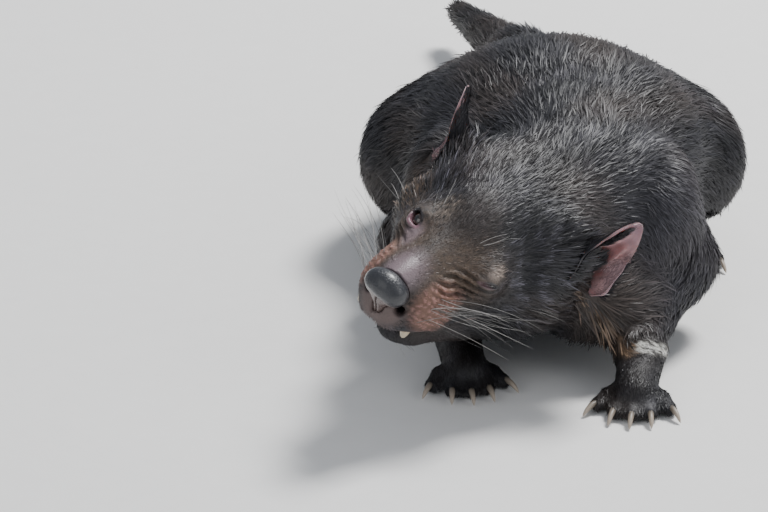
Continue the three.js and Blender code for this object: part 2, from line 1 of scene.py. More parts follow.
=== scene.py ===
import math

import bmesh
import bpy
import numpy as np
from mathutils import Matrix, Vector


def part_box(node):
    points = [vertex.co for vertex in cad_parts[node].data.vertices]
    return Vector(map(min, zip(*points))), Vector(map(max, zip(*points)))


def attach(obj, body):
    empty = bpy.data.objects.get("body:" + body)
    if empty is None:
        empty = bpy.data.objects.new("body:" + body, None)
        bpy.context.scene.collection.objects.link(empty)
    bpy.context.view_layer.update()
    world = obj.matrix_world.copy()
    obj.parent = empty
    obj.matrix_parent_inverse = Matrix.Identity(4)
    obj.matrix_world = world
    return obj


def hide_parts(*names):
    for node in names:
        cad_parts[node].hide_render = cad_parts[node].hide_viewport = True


bl_info = {
    "name": "Tasmanian Devil Figure",
    "version": (1, 0, 0),
    "blender": (4, 5, 0),
    "location": "View3D > Sidebar > Devil",
    "description": "Builds a life-size crouching Tasmanian devil with its coat, and its stage",
    "category": "Add Mesh",
}

import openvdb
from bpy.props import FloatProperty, FloatVectorProperty, IntProperty, PointerProperty
from mathutils import Euler, Vector

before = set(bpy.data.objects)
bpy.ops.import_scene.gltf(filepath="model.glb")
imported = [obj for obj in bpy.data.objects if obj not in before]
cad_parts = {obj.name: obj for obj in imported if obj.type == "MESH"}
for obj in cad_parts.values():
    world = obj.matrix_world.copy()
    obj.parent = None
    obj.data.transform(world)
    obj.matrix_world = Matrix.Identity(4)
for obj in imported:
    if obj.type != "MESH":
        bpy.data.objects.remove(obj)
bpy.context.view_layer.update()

# Shapes are worked out in millimetres in the animal's own frame, whose +X is its left, +Y runs from
# its head to its tail and +Z is up. Its zero is between the shoulders, on the floor.
MM = 0.001
SIDES = (("left", 1), ("right", -1))


def spot(*xyz):
    return np.array(xyz, float)


# Landmarks of the body. Those of a pair are the left one's.
BACK_HEIGHT = 168
TRUNK_HALF_WIDTH = 106
WITHERS = spot(0, 152, 94)
NAPE = spot(2, 108, 104)
NECK_RADII = (56, 50)
SHOULDER = spot(64, 118, 86)
ELBOW = spot(79, 124, 50)
WRIST = spot(52, 42, 22)
FORE_TOES = spot(44, -12, 0)
RIGHT_FORE_MOVE = spot(15, 34, 0)
HIP = spot(50, 304, 68)
KNEE = spot(92, 246, 62)
HOCK = spot(86, 304, 28)
HIND_TOES = spot(95, 214, 0)
TAIL_LENGTH = 245
TAIL_BASE = spot(0, 366, 70)
TAIL_TIP = spot(-58, 366 + TAIL_LENGTH * 0.95, 32)
FORE_TOE = (20, 5.8)
HIND_TOE = (22, 6.0)

# The head turns and tilts about a point between the roots of its ears.
EAR_LINE = spot(-31, 68, 106)
HEAD_TURN = [math.radians(a) for a in (37.7, 0.8, 23.2)]
EYE_RADIUS = 6.6
# Each eye, left and right, has its middle, the way it looks, the line of its lids toward the nose, and
# its opening's half width and height.
EYES = {
    1: (spot(75, 34, 5), spot(0.55, 0.7, 0.45), spot(0.73, -0.67, 0.15), (6.4, 0.75)),
    -1: (spot(78, -22, 13), spot(0.72, -0.42, 0.55), spot(0.65, 0.69, -0.32), (5.6, 3.9)),
}
# A hollow in the brow line before the right eye, which leaves it in view from the front.
EYE_HOLLOW, EYE_HOLLOW_RADIUS = spot(95, -23, 26.6), 14
MOUTH_CORNER, MOUTH_HEIGHT = 68, -27
MOUTH_OPENING = math.radians(14)
NOSE_TIP = 145
EAR_LOBE = (-8, 74, -5)
EAR_HEIGHT, EAR_WIDTH, EAR_THICKNESS, EAR_ASIDE, EAR_FORWARD = 52, 40, 2.6, 59, -4


def unit(v):
    v = np.asarray(v, float)
    return v / np.maximum(np.linalg.norm(v, axis=-1, keepdims=True), 1e-9)


def head_axes():
    """Rows are the head's ahead, left and up in the animal's frame."""
    yaw, pitch, roll = HEAD_TURN
    ahead = spot(-math.sin(yaw) * math.cos(pitch), -math.cos(yaw) * math.cos(pitch), math.sin(pitch))
    level = spot(math.cos(yaw), -math.sin(yaw), 0)
    left = level * math.cos(roll) - np.cross(ahead, level) * math.sin(roll)
    left += ahead * (ahead @ level) * (1 - math.cos(roll))
    return np.array([ahead, left, np.cross(ahead, left)])


HEAD_AXES = head_axes()


def to_head(p):
    return (p - EAR_LINE) @ HEAD_AXES.T


def from_head(h):
    return h @ HEAD_AXES + EAR_LINE


def eye_place(side):
    return EYES[side][0]


def frame_shift():
    """What moves a point of the animal's frame to the row's frame, read from where the eyes are."""
    middles = [sum(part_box(f"eye_{name}"), Vector()) / 2 for name, _ in SIDES]
    ours = [from_head(eye_place(side)) * MM for _, side in SIDES]
    return (np.array(middles[0] + middles[1]) - ours[0] - ours[1]) / 2


SHIFT = frame_shift()


# Fields: each gives signed distances in millimetres at a list of points, negative inside.

def limb(a, b, ra, rb):
    along = b - a
    reach = along @ along

    def distance(p):
        q = p - a
        t = np.clip(q @ along / reach, 0, 1)
        q = q - t[:, None] * along
        return np.sqrt(np.einsum("ij,ij->i", q, q)) - ra - (rb - ra) * t
    return distance


def egg(centre, radii, turn=(0, 0, 0)):
    # The turns are about X, then Y, then Z of the turned piece, as in the solids.
    m = np.eye(3)
    for axis, degrees in zip("XYZ", turn):
        step = np.array(Euler([math.radians(degrees) if axis == a else 0 for a in "XYZ"]).to_matrix())
        m = m @ step
    radii = np.asarray(radii, float)

    def distance(p):
        q = ((p - centre) @ m) / radii
        k0 = np.sqrt(np.einsum("ij,ij->i", q, q))
        q = q / radii
        k1 = np.sqrt(np.einsum("ij,ij->i", q, q))
        return k0 * (k0 - 1) / np.maximum(k1, 1e-9)
    return distance


def blend_min(a, b, softness):
    h = np.maximum(softness - np.abs(a - b), 0) / softness
    return np.minimum(a, b) - h * h * softness / 4


def blend_max(a, b, softness):
    return -blend_min(-a, -b, softness)


def flesh(softness, *masses):
    def distance(p):
        d = masses[0](p)
        for mass in masses[1:]:
            d = blend_min(d, mass(p), softness)
        return d
    return distance


def folded(h):
    """Points of the head moved to its left side, for what both sides have alike."""
    return h * (1, 0, 1) + np.abs(h) * (0, 1, 0)


def both_cheeks(field):
    return lambda h: field(folded(h))


def smooth_step(low, high, value):
    t = np.clip((value - low) / (high - low), 0, 1)
    return t * t * (3 - 2 * t)


def ripple(p, size, seed, waves=7):
    """A smooth random value from about -1 to 1 at each point, with bumps of about the given size."""
    draw = np.random.default_rng(seed)
    ways = unit(draw.normal(size=(waves, 3))) * (2 * math.pi / size)
    ways = ways * draw.uniform(0.6, 1.5, (waves, 1))
    return np.sin(p @ ways.T + draw.uniform(0, 2 * math.pi, waves)).sum(axis=1) / math.sqrt(waves)


# Body masses, as in the solids.

TRUNK = flesh(
    30,
    egg(spot(0, 140, BACK_HEIGHT / 2 - 2), (80, 80, BACK_HEIGHT / 2 - 16)),
    egg(spot(0, 222, BACK_HEIGHT / 2 + 3), (TRUNK_HALF_WIDTH, 104, BACK_HEIGHT / 2 - 8)),
    egg(spot(0, 302, 72), (88, 82, 60), (-14, 0, 0)),
    limb(WITHERS, NAPE, *NECK_RADII),
    egg(spot(22, 84, 48), (47, 50, 34)),
)


def toes_of(tips, heel, toe, count):
    length, radius = toe
    ahead = unit((tips - heel) * (1, 1, 0))
    aside = spot(-ahead[1], ahead[0], 0)
    toes = []
    for i in range(count):
        across = i - (count - 1) / 2
        root = tips - ahead * length + aside * across * radius * 1.5
        tip = tips - ahead * across ** 2 * radius * 0.5 + aside * across * radius * 2
        root[2] = radius + 1.5
        tip[2] = radius - 1
        toes.append((root, tip))
    return toes


def paw_masses(heel, heel_radius, toes, toe):
    palm = (toes[0][0] + toes[-1][0]) / 2
    palm[2] = 11.5
    sole = heel * 0.65 + palm * 0.35
    sole[2] = 13
    radius = toe[1]
    return flesh(
        8,
        limb(heel, palm, heel_radius, 12.5),
        limb(sole, palm, 13.5, 12.5),
        *[limb(root, tip, radius * 1.1, radius) for root, tip in toes],
    )


def whole_leg(upper, paw, joints, toes):
    return {"field": flesh(8, upper, paw), "paw": paw, "joints": joints, "toes": toes}


def fore_leg(move):
    shoulder, elbow = SHOULDER + move * 0.6, ELBOW + move * 0.8
    wrist, tips = WRIST + move, FORE_TOES + move
    toes = toes_of(tips, wrist, FORE_TOE, 5)
    upper = flesh(
        22,
        egg(shoulder, (34, 48, 54), (12, 0, 0)),
        limb(shoulder * (1, 1, 0) + spot(0, 0, 70), elbow, 30, 26),
        limb(elbow, wrist, 26, 15),
    )
    paw = paw_masses(wrist, 15, toes, FORE_TOE)
    return whole_leg(upper, paw, (shoulder, elbow, wrist, tips), toes)


def hind_leg():
    toes = toes_of(HIND_TOES, HOCK, HIND_TOE, 4)
    upper = flesh(
        24,
        egg(spot(80, 266, 73), (51, 60, 45), (-14, 0, 16)),
        limb(HIP, KNEE, 46, 34),
        limb(KNEE, HOCK, 31, 17),
    )
    paw = paw_masses(HOCK, 17, toes, HIND_TOE)
    return whole_leg(upper, paw, (HIP, KNEE, HOCK, HIND_TOES), toes)


LEGS = {
    "foreleg_left": (fore_leg(spot(0, 0, 0)), 1),
    "foreleg_right": (fore_leg(RIGHT_FORE_MOVE), -1),
    "hindleg_left": (hind_leg(), 1),
    "hindleg_right": (hind_leg(), -1),
}
TAIL_MIDDLE = TAIL_BASE * 0.55 + TAIL_TIP * 0.45 + spot(10, 0, -5)
TAIL = flesh(
    14,
    limb(TAIL_BASE + spot(0, -34, 2), TAIL_BASE, 42, 29),
    limb(TAIL_BASE, TAIL_MIDDLE, 29, 25),
    limb(TAIL_MIDDLE, TAIL_TIP, 25, 13),
)
LIP_LINE = spot(102, 21, MOUTH_HEIGHT)
SKULL = flesh(
    14,
    egg(spot(0, 0, 3), (60, 54, 42)),
    egg(spot(40, 0, 16), (40, 32, 26)),
    both_cheeks(egg(spot(6, 30, 8), (40, 28, 30))),
    both_cheeks(egg(spot(14, 38, -22), (44, 29, 36))),
    both_cheeks(limb(spot(34, 42, -14), spot(72, 27, -10), 21, 14)),
    both_cheeks(egg(spot(62, 23, 5), (26, 17, 17))),
    egg(eye_place(1), (10.5, 8, 9)),
    egg(eye_place(-1), (10.5, 8, 9)),
    limb(spot(58, 0, -14), spot(112, 0, -13), 32, 20),
    limb(spot(50, 0, 12), spot(NOSE_TIP - 18, 0, -1), 21, 11),
    both_cheeks(egg(spot(102, 17.5, -15), (25, 12.5, 15.5))),
    egg(spot(121, 0, -22), (13, 17, 11)),
    both_cheeks(limb(spot(MOUTH_CORNER, 31, MOUTH_HEIGHT), LIP_LINE, 4.5, 4)),
    both_cheeks(limb(LIP_LINE, spot(128, 6, MOUTH_HEIGHT), 4, 4)),
    limb(spot(-10, 0, -30), spot(48, 0, -38), 43, 29),
    flesh(
        10,
        both_cheeks(limb(spot(24, 30, -50), spot(88, 8, -50), 18, 11)),
        egg(spot(93, 0, -50), (19, 15, 10)),
    ),
)


def nearness(p):
    """The distance to each mass of the body, by name."""
    near = {"trunk": TRUNK(p), "tail": TAIL(p), "head": SKULL(to_head(p))}
    for name, (leg, side) in LEGS.items():
        near[name] = leg["field"](p * (side, 1, 1))
    return near


def body_over_coat(near):
    """The masses blended into one body, out to the coat's surface."""
    with_legs = near["trunk"]
    for name in LEGS:
        with_legs = blend_min(with_legs, near[name], 22)
    with_head = blend_min(near["trunk"], near["head"], 24)
    with_tail = blend_min(near["trunk"], near["tail"], 24)
    return np.minimum(np.minimum(with_legs, with_head), with_tail)


# How the coat grows: its depth over the skin, the length of its tufts and the way that they lie.

def shares(near):
    """How much of each point belongs to each mass, adding up to one."""
    names = list(near)
    closeness = np.stack([-near[n] for n in names]) / 6
    weight = np.exp(closeness - closeness.max(axis=0))
    weight /= weight.sum(axis=0)
    return dict(zip(names, weight))


def face_share(h):
    """From 0 behind the eyes to 1 on the muzzle."""
    return smooth_step(40, 105, h[:, 0])


def foot_share(p):
    """One on the paws and feet, fading up the legs."""
    near_paw = np.full(len(p), 50.0)
    for leg, side in LEGS.values():
        near_paw = np.minimum(near_paw, leg["paw"](p * (side, 1, 1)))
    return 1 - smooth_step(0, 9, near_paw)


BODY_COAT, FOOT_COAT, CROWN_COAT, MUZZLE_COAT = 5.5, 1.2, 4.2, 0.8


def coat_depth(p, near, h):
    """How far the skin lies below the coat's surface."""
    head = shares(near)["head"]
    body = BODY_COAT + (FOOT_COAT - BODY_COAT) * foot_share(p)
    on_head = CROWN_COAT + (MUZZLE_COAT - CROWN_COAT) * face_share(h)
    return body * (1 - head) + on_head * head


# The face's fine forms, in the head's frame.

def eye_axes(side):
    """Along the lids' slit toward the nose, out of the head and up, at one eye."""
    _, looks, lids, _ = EYES[side]
    outward = unit(looks)
    along = unit(lids - outward * (lids @ outward))
    return along, outward, np.cross(along, outward) * side


def eye_ring(h, side, wider=0):
    """One on the edge of an eye's opening, less inside it."""
    along, outward, up = eye_axes(side)
    half_width, half_height = EYES[side][3]
    q = h - eye_place(side)
    corner = (q @ along) / (half_width + wider)
    lift = (q @ up) / (half_height + wider)
    return np.hypot(corner, lift * (1 + 0.35 * np.abs(corner))), q @ outward


def carve_eye(d, h, side):
    """Lids over the eye, with its opening. Where they nearly meet, the eye shows in a groove."""
    ring, out = eye_ring(h, side)
    half_width, half_height = EYES[side][3]
    radius = np.linalg.norm(h - eye_place(side), axis=1)
    d = blend_min(d, np.where(out > 0, radius - EYE_RADIUS - 1.1, 20), 1.5)
    if half_height < 1:
        along, _, up = eye_axes(side)
        q = h - eye_place(side)
        groove = np.exp(-((q @ up) / half_height) ** 2)
        groove *= np.clip(1.2 - (q @ along / half_width) ** 2, 0, 1)
        return d + np.where(out > 0, 2.0 * groove, 0)
    lid = np.hypot((ring - 1.25) * half_height, radius - EYE_RADIUS - 0.4) - 0.95
    d = blend_min(d, np.where(out > 0, lid, 20), 2.5)
    opening = np.where(out > 0, (ring - 1) * half_height, 20)
    d = blend_max(d, -opening, 0.8)
    return np.maximum(d, EYE_RADIUS + 0.1 - radius)


def under_lid(h, side):
    """One in the fold of skin under an eye."""
    along, outward, up = eye_axes(side)
    half_width, half_height = EYES[side][3]
    q = h - eye_place(side)
    corner = (q @ along) / (half_width + 2.5)
    sag = (half_height + 3.4) * np.sqrt(np.clip(1 - corner ** 2, 0, 1))
    depth = np.exp(-(((q @ up) + sag) / 0.8) ** 2)
    return depth * (np.abs(corner) < 1) * (q @ outward > 0)


def mouth_gap(h):
    """The wedge between the lips, from the mouth's corner forward."""
    x = h[:, 0] - MOUTH_CORNER
    middle = MOUTH_HEIGHT - x * math.tan(MOUTH_OPENING / 2)
    half = x * math.tan(MOUTH_OPENING / 2)
    return (np.abs(h[:, 2] - middle) - half) * math.cos(MOUTH_OPENING / 2)


def on_pads(h):
    return patch(folded(h), *WHISKER_PAD)


def pad_bumps(h):
    """Rows of small bumps that the whiskers grow from."""
    x = h[:, 0] + 0.9 * ripple(h, 9, 51)
    z = h[:, 2] + 0.25 * (h[:, 0] - 107) + 0.8 * ripple(h, 8, 52)
    bumps = np.cos(x * 2 * math.pi / 5.6) * np.cos(z * 2 * math.pi / 4.6)
    return np.clip(bumps * (1 + 0.5 * ripple(h, 6, 53)), 0, 1) * on_pads(h)


def snarl_folds(h):
    """Wavy folds over the whisker pads, deeper on the left."""
    lift = h[:, 2] - 0.3 * (h[:, 0] - 95) + 1.2 * np.sin(h[:, 0] / 5)
    mask = patch(folded(h), *SNARL) * np.where(h[:, 1] > 0, 1, 0.5)
    return np.sin(lift * 2 * math.pi / 4.4) * mask


PALATE = egg(spot(97, 0, MOUTH_HEIGHT - 1), (28, 16, 8))
JAW_DROP = math.tan(MOUTH_OPENING)
MOUTH_FLOOR = egg(spot(88, 0, MOUTH_HEIGHT - (88 - MOUTH_CORNER) * JAW_DROP), (21, 10, 5), (0, 14, 0))
NOSE = flesh(
    5,
    egg(spot(NOSE_TIP - 10, 0, 0), (10, 14, 11)),
    both_cheeks(egg(spot(NOSE_TIP - 11, 9, -2), (8, 6.5, 8))),
    limb(spot(NOSE_TIP - 9, 0, -8), spot(NOSE_TIP - 14, 0, -21), 6, 5),
)
NOSTRILS = flesh(
    1.5,
    both_cheeks(limb(spot(NOSE_TIP - 6.5, 9, -9.5), spot(NOSE_TIP - 12.5, 14, -11), 2.8, 3.4)),
    both_cheeks(limb(spot(NOSE_TIP - 12.5, 14, -11), spot(NOSE_TIP - 15.5, 18, -7), 3.0, 1.5)),
    both_cheeks(limb(spot(NOSE_TIP - 12.5, 13.5, -11), spot(NOSE_TIP - 24, 9, -13), 3.2, 2.4)),
)


def nose_field(h):
    """The leather overhangs the bare front of the muzzle, which has a groove down its middle."""
    d = NOSE(h)
    front = smooth_step(-1, -5, h[:, 2]) * 1.1
    groove = np.maximum(np.abs(h[:, 1]) - 0.3, h[:, 2] + 5)
    d = blend_max(d + front, -np.maximum(groove, NOSE_TIP - 13 - h[:, 0]), 1.0)
    d = blend_max(d, -NOSTRILS(h), 1.2)
    return np.maximum(d, NOSE_TIP - 26 - h[:, 0])


def skin_field(p):
    near = nearness(p)
    h = to_head(p)
    d = body_over_coat(near) + coat_depth(p, near, h)
    d = np.maximum(d, 0.6 - p[:, 2])
    face = np.flatnonzero((h[:, 0] > 40) & (np.abs(h[:, 1]) < 70) & (near["head"] < 14))
    if len(face):
        f, g = d[face], h[face]
        f = blend_max(f, EYE_HOLLOW_RADIUS - np.linalg.norm(g - EYE_HOLLOW, axis=1), 3)
        for _, side in SIDES:
            f = carve_eye(f, g, side) + 0.9 * under_lid(g, side)
        f = blend_max(f, -np.where(g[:, 0] > MOUTH_CORNER - 2, mouth_gap(g), 30), 1.6)
        f = f - 0.7 * pad_bumps(g) - 1.1 * snarl_folds(g)
        f = blend_max(f, -PALATE(g), 1.5)
        f = blend_max(f, -MOUTH_FLOOR(g), 1.5)
        f = blend_max(f, -NOSTRILS(g), 1.2)
        d[face] = np.maximum(f, 0.15 - nose_field(g))
    return d


# Meshes from fields and arrays.

def surface_of(field, low, high, step, block=5):
    """Corners and four-sided faces of a field's surface in a box. Blocks far from it are skipped."""
    counts = [int(math.ceil((high[i] - low[i]) / (step * block))) for i in range(3)]
    centres = [low[i] + step * (block * np.arange(counts[i]) + (block - 1) / 2) for i in range(3)]
    blocks = np.stack(np.meshgrid(*centres, indexing="ij"), axis=-1).reshape(-1, 3)
    values = field(blocks).reshape(counts).astype(np.float32)
    for axis in range(3):
        values = np.repeat(values, block, axis=axis)
    near = np.abs(values) < step * block * 0.87 + 3 * step
    places = np.argwhere(near) * step + np.asarray(low)
    values[near] = field(places)
    grid = openvdb.FloatGrid()
    grid.copyFromArray(np.ascontiguousarray(values))
    corners, quads = grid.convertToQuads(isovalue=0.0)
    return corners * step + np.asarray(low), quads


def settle(field, corners, reach, rounds=2):
    """Moves corners on to a field's surface, by no more than the reach in each round."""
    e = 0.2
    for _ in range(rounds):
        here = field(corners)
        slope = np.stack([field(corners + step) - here for step in np.eye(3) * e], axis=1) / e
        move = np.clip(-here / np.maximum((slope ** 2).sum(axis=1), 0.2), -reach, reach)
        corners = corners + slope * move[:, None]
    return corners


def new_mesh(name, corners, faces):
    """A mesh object from corners in the animal's frame and faces that all have as many corners."""
    mesh = bpy.data.meshes.new(name)
    fill_mesh(mesh, corners, [faces])
    return link(name, mesh)


def fill_mesh(mesh, corners, face_sets):
    loops = np.concatenate([f.reshape(-1) for f in face_sets]).astype(np.int32)
    sizes = np.concatenate([np.full(len(f), f.shape[1]) for f in face_sets]).astype(np.int32)
    starts = np.concatenate([[0], np.cumsum(sizes)[:-1]]).astype(np.int32)
    mesh.vertices.add(len(corners))
    mesh.vertices.foreach_set("co", (corners * MM + SHIFT).astype(np.float32).ravel())
    mesh.loops.add(len(loops))
    mesh.loops.foreach_set("vertex_index", loops)
    mesh.polygons.add(len(sizes))
    mesh.polygons.foreach_set("loop_start", starts)
    mesh.polygons.foreach_set("loop_total", sizes)
    mesh.update(calc_edges=True)
    mesh.validate()
    mesh.shade_smooth()


def link(name, mesh):
    piece = bpy.data.objects.new(name, mesh)
    bpy.context.scene.collection.objects.link(piece)
    return piece


def finish_piece(piece, material, slot, *nodes):
    piece.data.materials.append(material)
    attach(piece, "root")
    if nodes:
        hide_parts(*nodes)


def paint(mesh, name, colours, roughness=1):
    """Stores a colour and a roughness for each corner of the mesh."""
    layer = mesh.color_attributes.new(name, "FLOAT_COLOR", "POINT")
    filled = np.ones((len(colours), 4), np.float32)
    filled[:, :3] = colours
    filled[:, 3] = roughness
    layer.data.foreach_set("color", filled.ravel())


def corners_of(mesh):
    flat = np.empty(len(mesh.vertices) * 3, np.float32)
    mesh.vertices.foreach_get("co", flat)
    return (flat.reshape(-1, 3) - SHIFT) / MM


# Settings.

def colour_setting(name, description, default):
    return FloatVectorProperty(name=name, description=description, default=default, subtype="COLOR")


def length_setting(name, description, default):
    return FloatProperty(name=name, description=description, default=default, unit="LENGTH")


class DevilCoatSettings(bpy.types.PropertyGroup):
    """Sizes and colours of the coat"""

    tufts: IntProperty(name="Tufts", description="Tufts in the whole coat", default=300000, min=1000)
    back_length: length_setting("Back Length", "Length of the tufts on the back", 0.0145)
    face_length: length_setting("Face Length", "Length of the tufts on the muzzle", 0.0028)
    # The black's slight blue tint is a painted reflection of the sky on the hair.
    black: colour_setting("Black", "Main colour of the coat", (0.0145, 0.0138, 0.0168))
    brown: colour_setting("Brown", "Brown tinge of the face and shoulders", (0.068, 0.046, 0.033))
    tan: colour_setting("Tan", "Brows and ruff", (0.26, 0.172, 0.108))
    white: colour_setting("White", "Mark on the chest", (0.8, 0.78, 0.72))


class DevilFaceSettings(bpy.types.PropertyGroup):
    """Colours of the bare parts"""

    pink: colour_setting("Pink", "Bare skin of the ears and lids", (0.5, 0.22, 0.22))
    lilac: colour_setting("Lilac", "Thinly haired skin of the muzzle", (0.2, 0.15, 0.165))
    leather: colour_setting("Nose Leather", "Nose leather", (0.017, 0.018, 0.023))
    front: colour_setting("Muzzle Front", "Bare skin under the nose leather", (0.11, 0.078, 0.072))
    iris: colour_setting("Iris", "Iris", (0.03, 0.014, 0.008))
    horn: colour_setting("Horn", "Claws", (0.24, 0.2, 0.16))
    ivory: colour_setting("Ivory", "Teeth", (0.5, 0.42, 0.3))


class DevilStageSettings(bpy.types.PropertyGroup):
    """Floor, light and camera"""

    floor: colour_setting("Floor", "Colour of the floor", (0.86, 0.85, 0.83))
    key_power: FloatProperty(
        name="Key Light", description="Power of the main light", default=130, unit="POWER")
    distance: length_setting("Camera Distance", "From the camera to the figure", 3.5)


# Shader helpers.

def node(tree, kind, **values):
    made = tree.nodes.new(kind)
    for key, value in values.items():
        setattr(made, key, value)
    return made


def new_material(name, **constants):
    """A material with its Principled shader, whose sockets take the constants."""
    material = bpy.data.materials.new(name)
    material.use_nodes = True
    shader = material.node_tree.nodes["Principled BSDF"]
    for socket, value in constants.items():
        shader.inputs[socket.replace("_", " ")].default_value = value
    return material, material.node_tree, shader


def grain_group():
    """Shared fine grain: it varies a colour and gives a height, at a size in metres."""
    if "Fine Grain" in bpy.data.node_groups:
        return bpy.data.node_groups["Fine Grain"]
    group = bpy.data.node_groups.new("Fine Grain", "ShaderNodeTree")
    face = group.interface
    face.new_socket("Color", in_out="INPUT", socket_type="NodeSocketColor")
    face.new_socket("Scale", in_out="INPUT", socket_type="NodeSocketFloat")
    face.new_socket("Amount", in_out="INPUT", socket_type="NodeSocketFloat")
    face.new_socket("Color", in_out="OUTPUT", socket_type="NodeSocketColor")
    face.new_socket("Height", in_out="OUTPUT", socket_type="NodeSocketFloat")
    inside = node(group, "NodeGroupInput")
    outside = node(group, "NodeGroupOutput")
    place = node(group, "ShaderNodeTexCoord")
    noise = node(group, "ShaderNodeTexNoise")
    noise.inputs["Detail"].default_value = 5
    centred = node(group, "ShaderNodeMath", operation="SUBTRACT")
    centred.inputs[1].default_value = 0.5
    scaled = node(group, "ShaderNodeMath", operation="MULTIPLY_ADD")
    scaled.inputs[2].default_value = 1
    tinted = node(group, "ShaderNodeVectorMath", operation="SCALE")
    wire = group.links.new
    wire(place.outputs["Object"], noise.inputs["Vector"])
    wire(inside.outputs["Scale"], noise.inputs["Scale"])
    wire(noise.outputs["Fac"], centred.inputs[0])
    wire(centred.outputs[0], scaled.inputs[0])
    wire(inside.outputs["Amount"], scaled.inputs[1])
    wire(inside.outputs["Color"], tinted.inputs[0])
    wire(scaled.outputs[0], tinted.inputs["Scale"])
    wire(tinted.outputs[0], outside.inputs["Color"])
    wire(noise.outputs["Fac"], outside.inputs["Height"])
    return group


def grain(tree, colour, scale, amount):
    """Places the shared grain in a material. The colour is a socket or a plain colour."""
    made = node(tree, "ShaderNodeGroup", node_tree=grain_group())
    made.inputs["Scale"].default_value = scale
    made.inputs["Amount"].default_value = amount
    if isinstance(colour, bpy.types.NodeSocket):
        tree.links.new(colour, made.inputs["Color"])
    else:
        made.inputs["Color"].default_value = (*colour, 1)
    return made


def bump(tree, shader, height, strength, distance):
    made = node(tree, "ShaderNodeBump")
    made.inputs["Strength"].default_value = strength
    made.inputs["Distance"].default_value = distance
    tree.links.new(height, made.inputs["Height"])
    tree.links.new(made.outputs["Normal"], shader.inputs["Normal"])


def painted(name, scale, amount, strength, distance, **constants):
    """A material that shows the colours stored on the mesh, with grain. Unless it is given a roughness,
    it takes that from the mesh too."""
    material, tree, shader = new_material(name, **constants)
    tone = node(tree, "ShaderNodeAttribute", attribute_name="Tone")
    made = grain(tree, tone.outputs["Color"], scale, amount)
    tree.links.new(made.outputs["Color"], shader.inputs["Base Color"])
    if "Roughness" not in constants:
        tree.links.new(tone.outputs["Alpha"], shader.inputs["Roughness"])
    bump(tree, shader, made.outputs["Height"], strength, distance)
    return material


# Markings, the same on skin and coat, with painted shade and painted highlight laid among them.

def mixed(a, b, share):
    return a * (1 - share[:, None]) + b * share[:, None]


def patch(h, centre, radii, soft=0.5):
    """One inside an egg-shaped patch, fading to nothing at its edge."""
    q = np.linalg.norm((h - spot(*centre)) / radii, axis=1)
    return 1 - smooth_step(1 - soft, 1 + soft, q)


def along_strand(p, points, radius):
    """One on a strand through the points, fading to nothing a little past its radius."""
    near = np.full(len(p), 1e3)
    for a, b in zip(points, points[1:]):
        near = np.minimum(near, limb(spot(*a), spot(*b), 0, 0)(p))
    return 1 - smooth_step(0.5, 1.5, near / radius)


def faded(first, second, share):
    """One colour at each point, from the first where the share is 0 to the second where it is 1."""
    return mixed(np.tile(first, (len(share), 1)), second, share)


def layered(tone, *layers):
    """Lays colours over a tone one after another, each by its share at every point."""
    for colour, share in layers:
        tone = mixed(tone, colour, share)
    return tone


# Patches in the animal's frame: middle, radii and how soft the edge is.
BROWN_THROAT = ((40, 42, 60), (32, 30, 32), 0.8)
PALE_SHOULDER = (SHOULDER + spot(14, -30, 0), (50, 60, 55), 0.7)
TAN_BEFORE_EAR = ((-99, 84, 122), (16, 34, 22), 0.6)
# Patches in the head's frame. Those on both sides are the left one's.
BRIDGE = (123, 0, 8)
LILAC_BRIDGE = (BRIDGE, (21, 11, 10), 0.6)
MOIST_BRIDGE = (BRIDGE, (18, 11, 11), 0.5)
SHEEN_CHEEK = ((28, 44, 4), (46, 30, 34), 0.6)
BROWN_MUZZLE = ((95, 20, 6), (36, 24, 18), 0.7)
TAN_MUZZLE = ((92, 18, 12), (24, 18, 12), 0.8)
WHISKER_PAD = ((109, 23, -10), (20, 13, 16), 0.3)
SNARL = ((93, 28, 4), (18, 12, 9), 0.5)
UNDER_RIGHT_EYE = ((92, -19, 12), (13, 7, 7), 0.6)
RIGHT_BROW = ((71, -14, 27), (10, 9, 7), 0.6)
LEFT_BROW = ((72, 37, 15), (6.5, 5, 6), 0.6)
MUZZLE_FRONT = ((137, 0, -15), (11, 19, 11), 0.3)
BALD_FRONT = ((138, 0, -15), (10, 17, 10))
BALD_BRIDGE = (BRIDGE, (13, 8.5, 9))
FORELOCK = ((12, 52, 20), (14, 14, 17), 0.6)
CHEEK_RUFF = ((24, 55, -24), (30, 22, 22), 0.7)
# Strands in the animal's frame.
RUFF = ((12, 31, 68), (24, 36, 51), (34, 36, 37), (42, 28, 32))
CHEST_MARK = ((49, 29, 35), (60, 31, 33), (70, 41, 27))


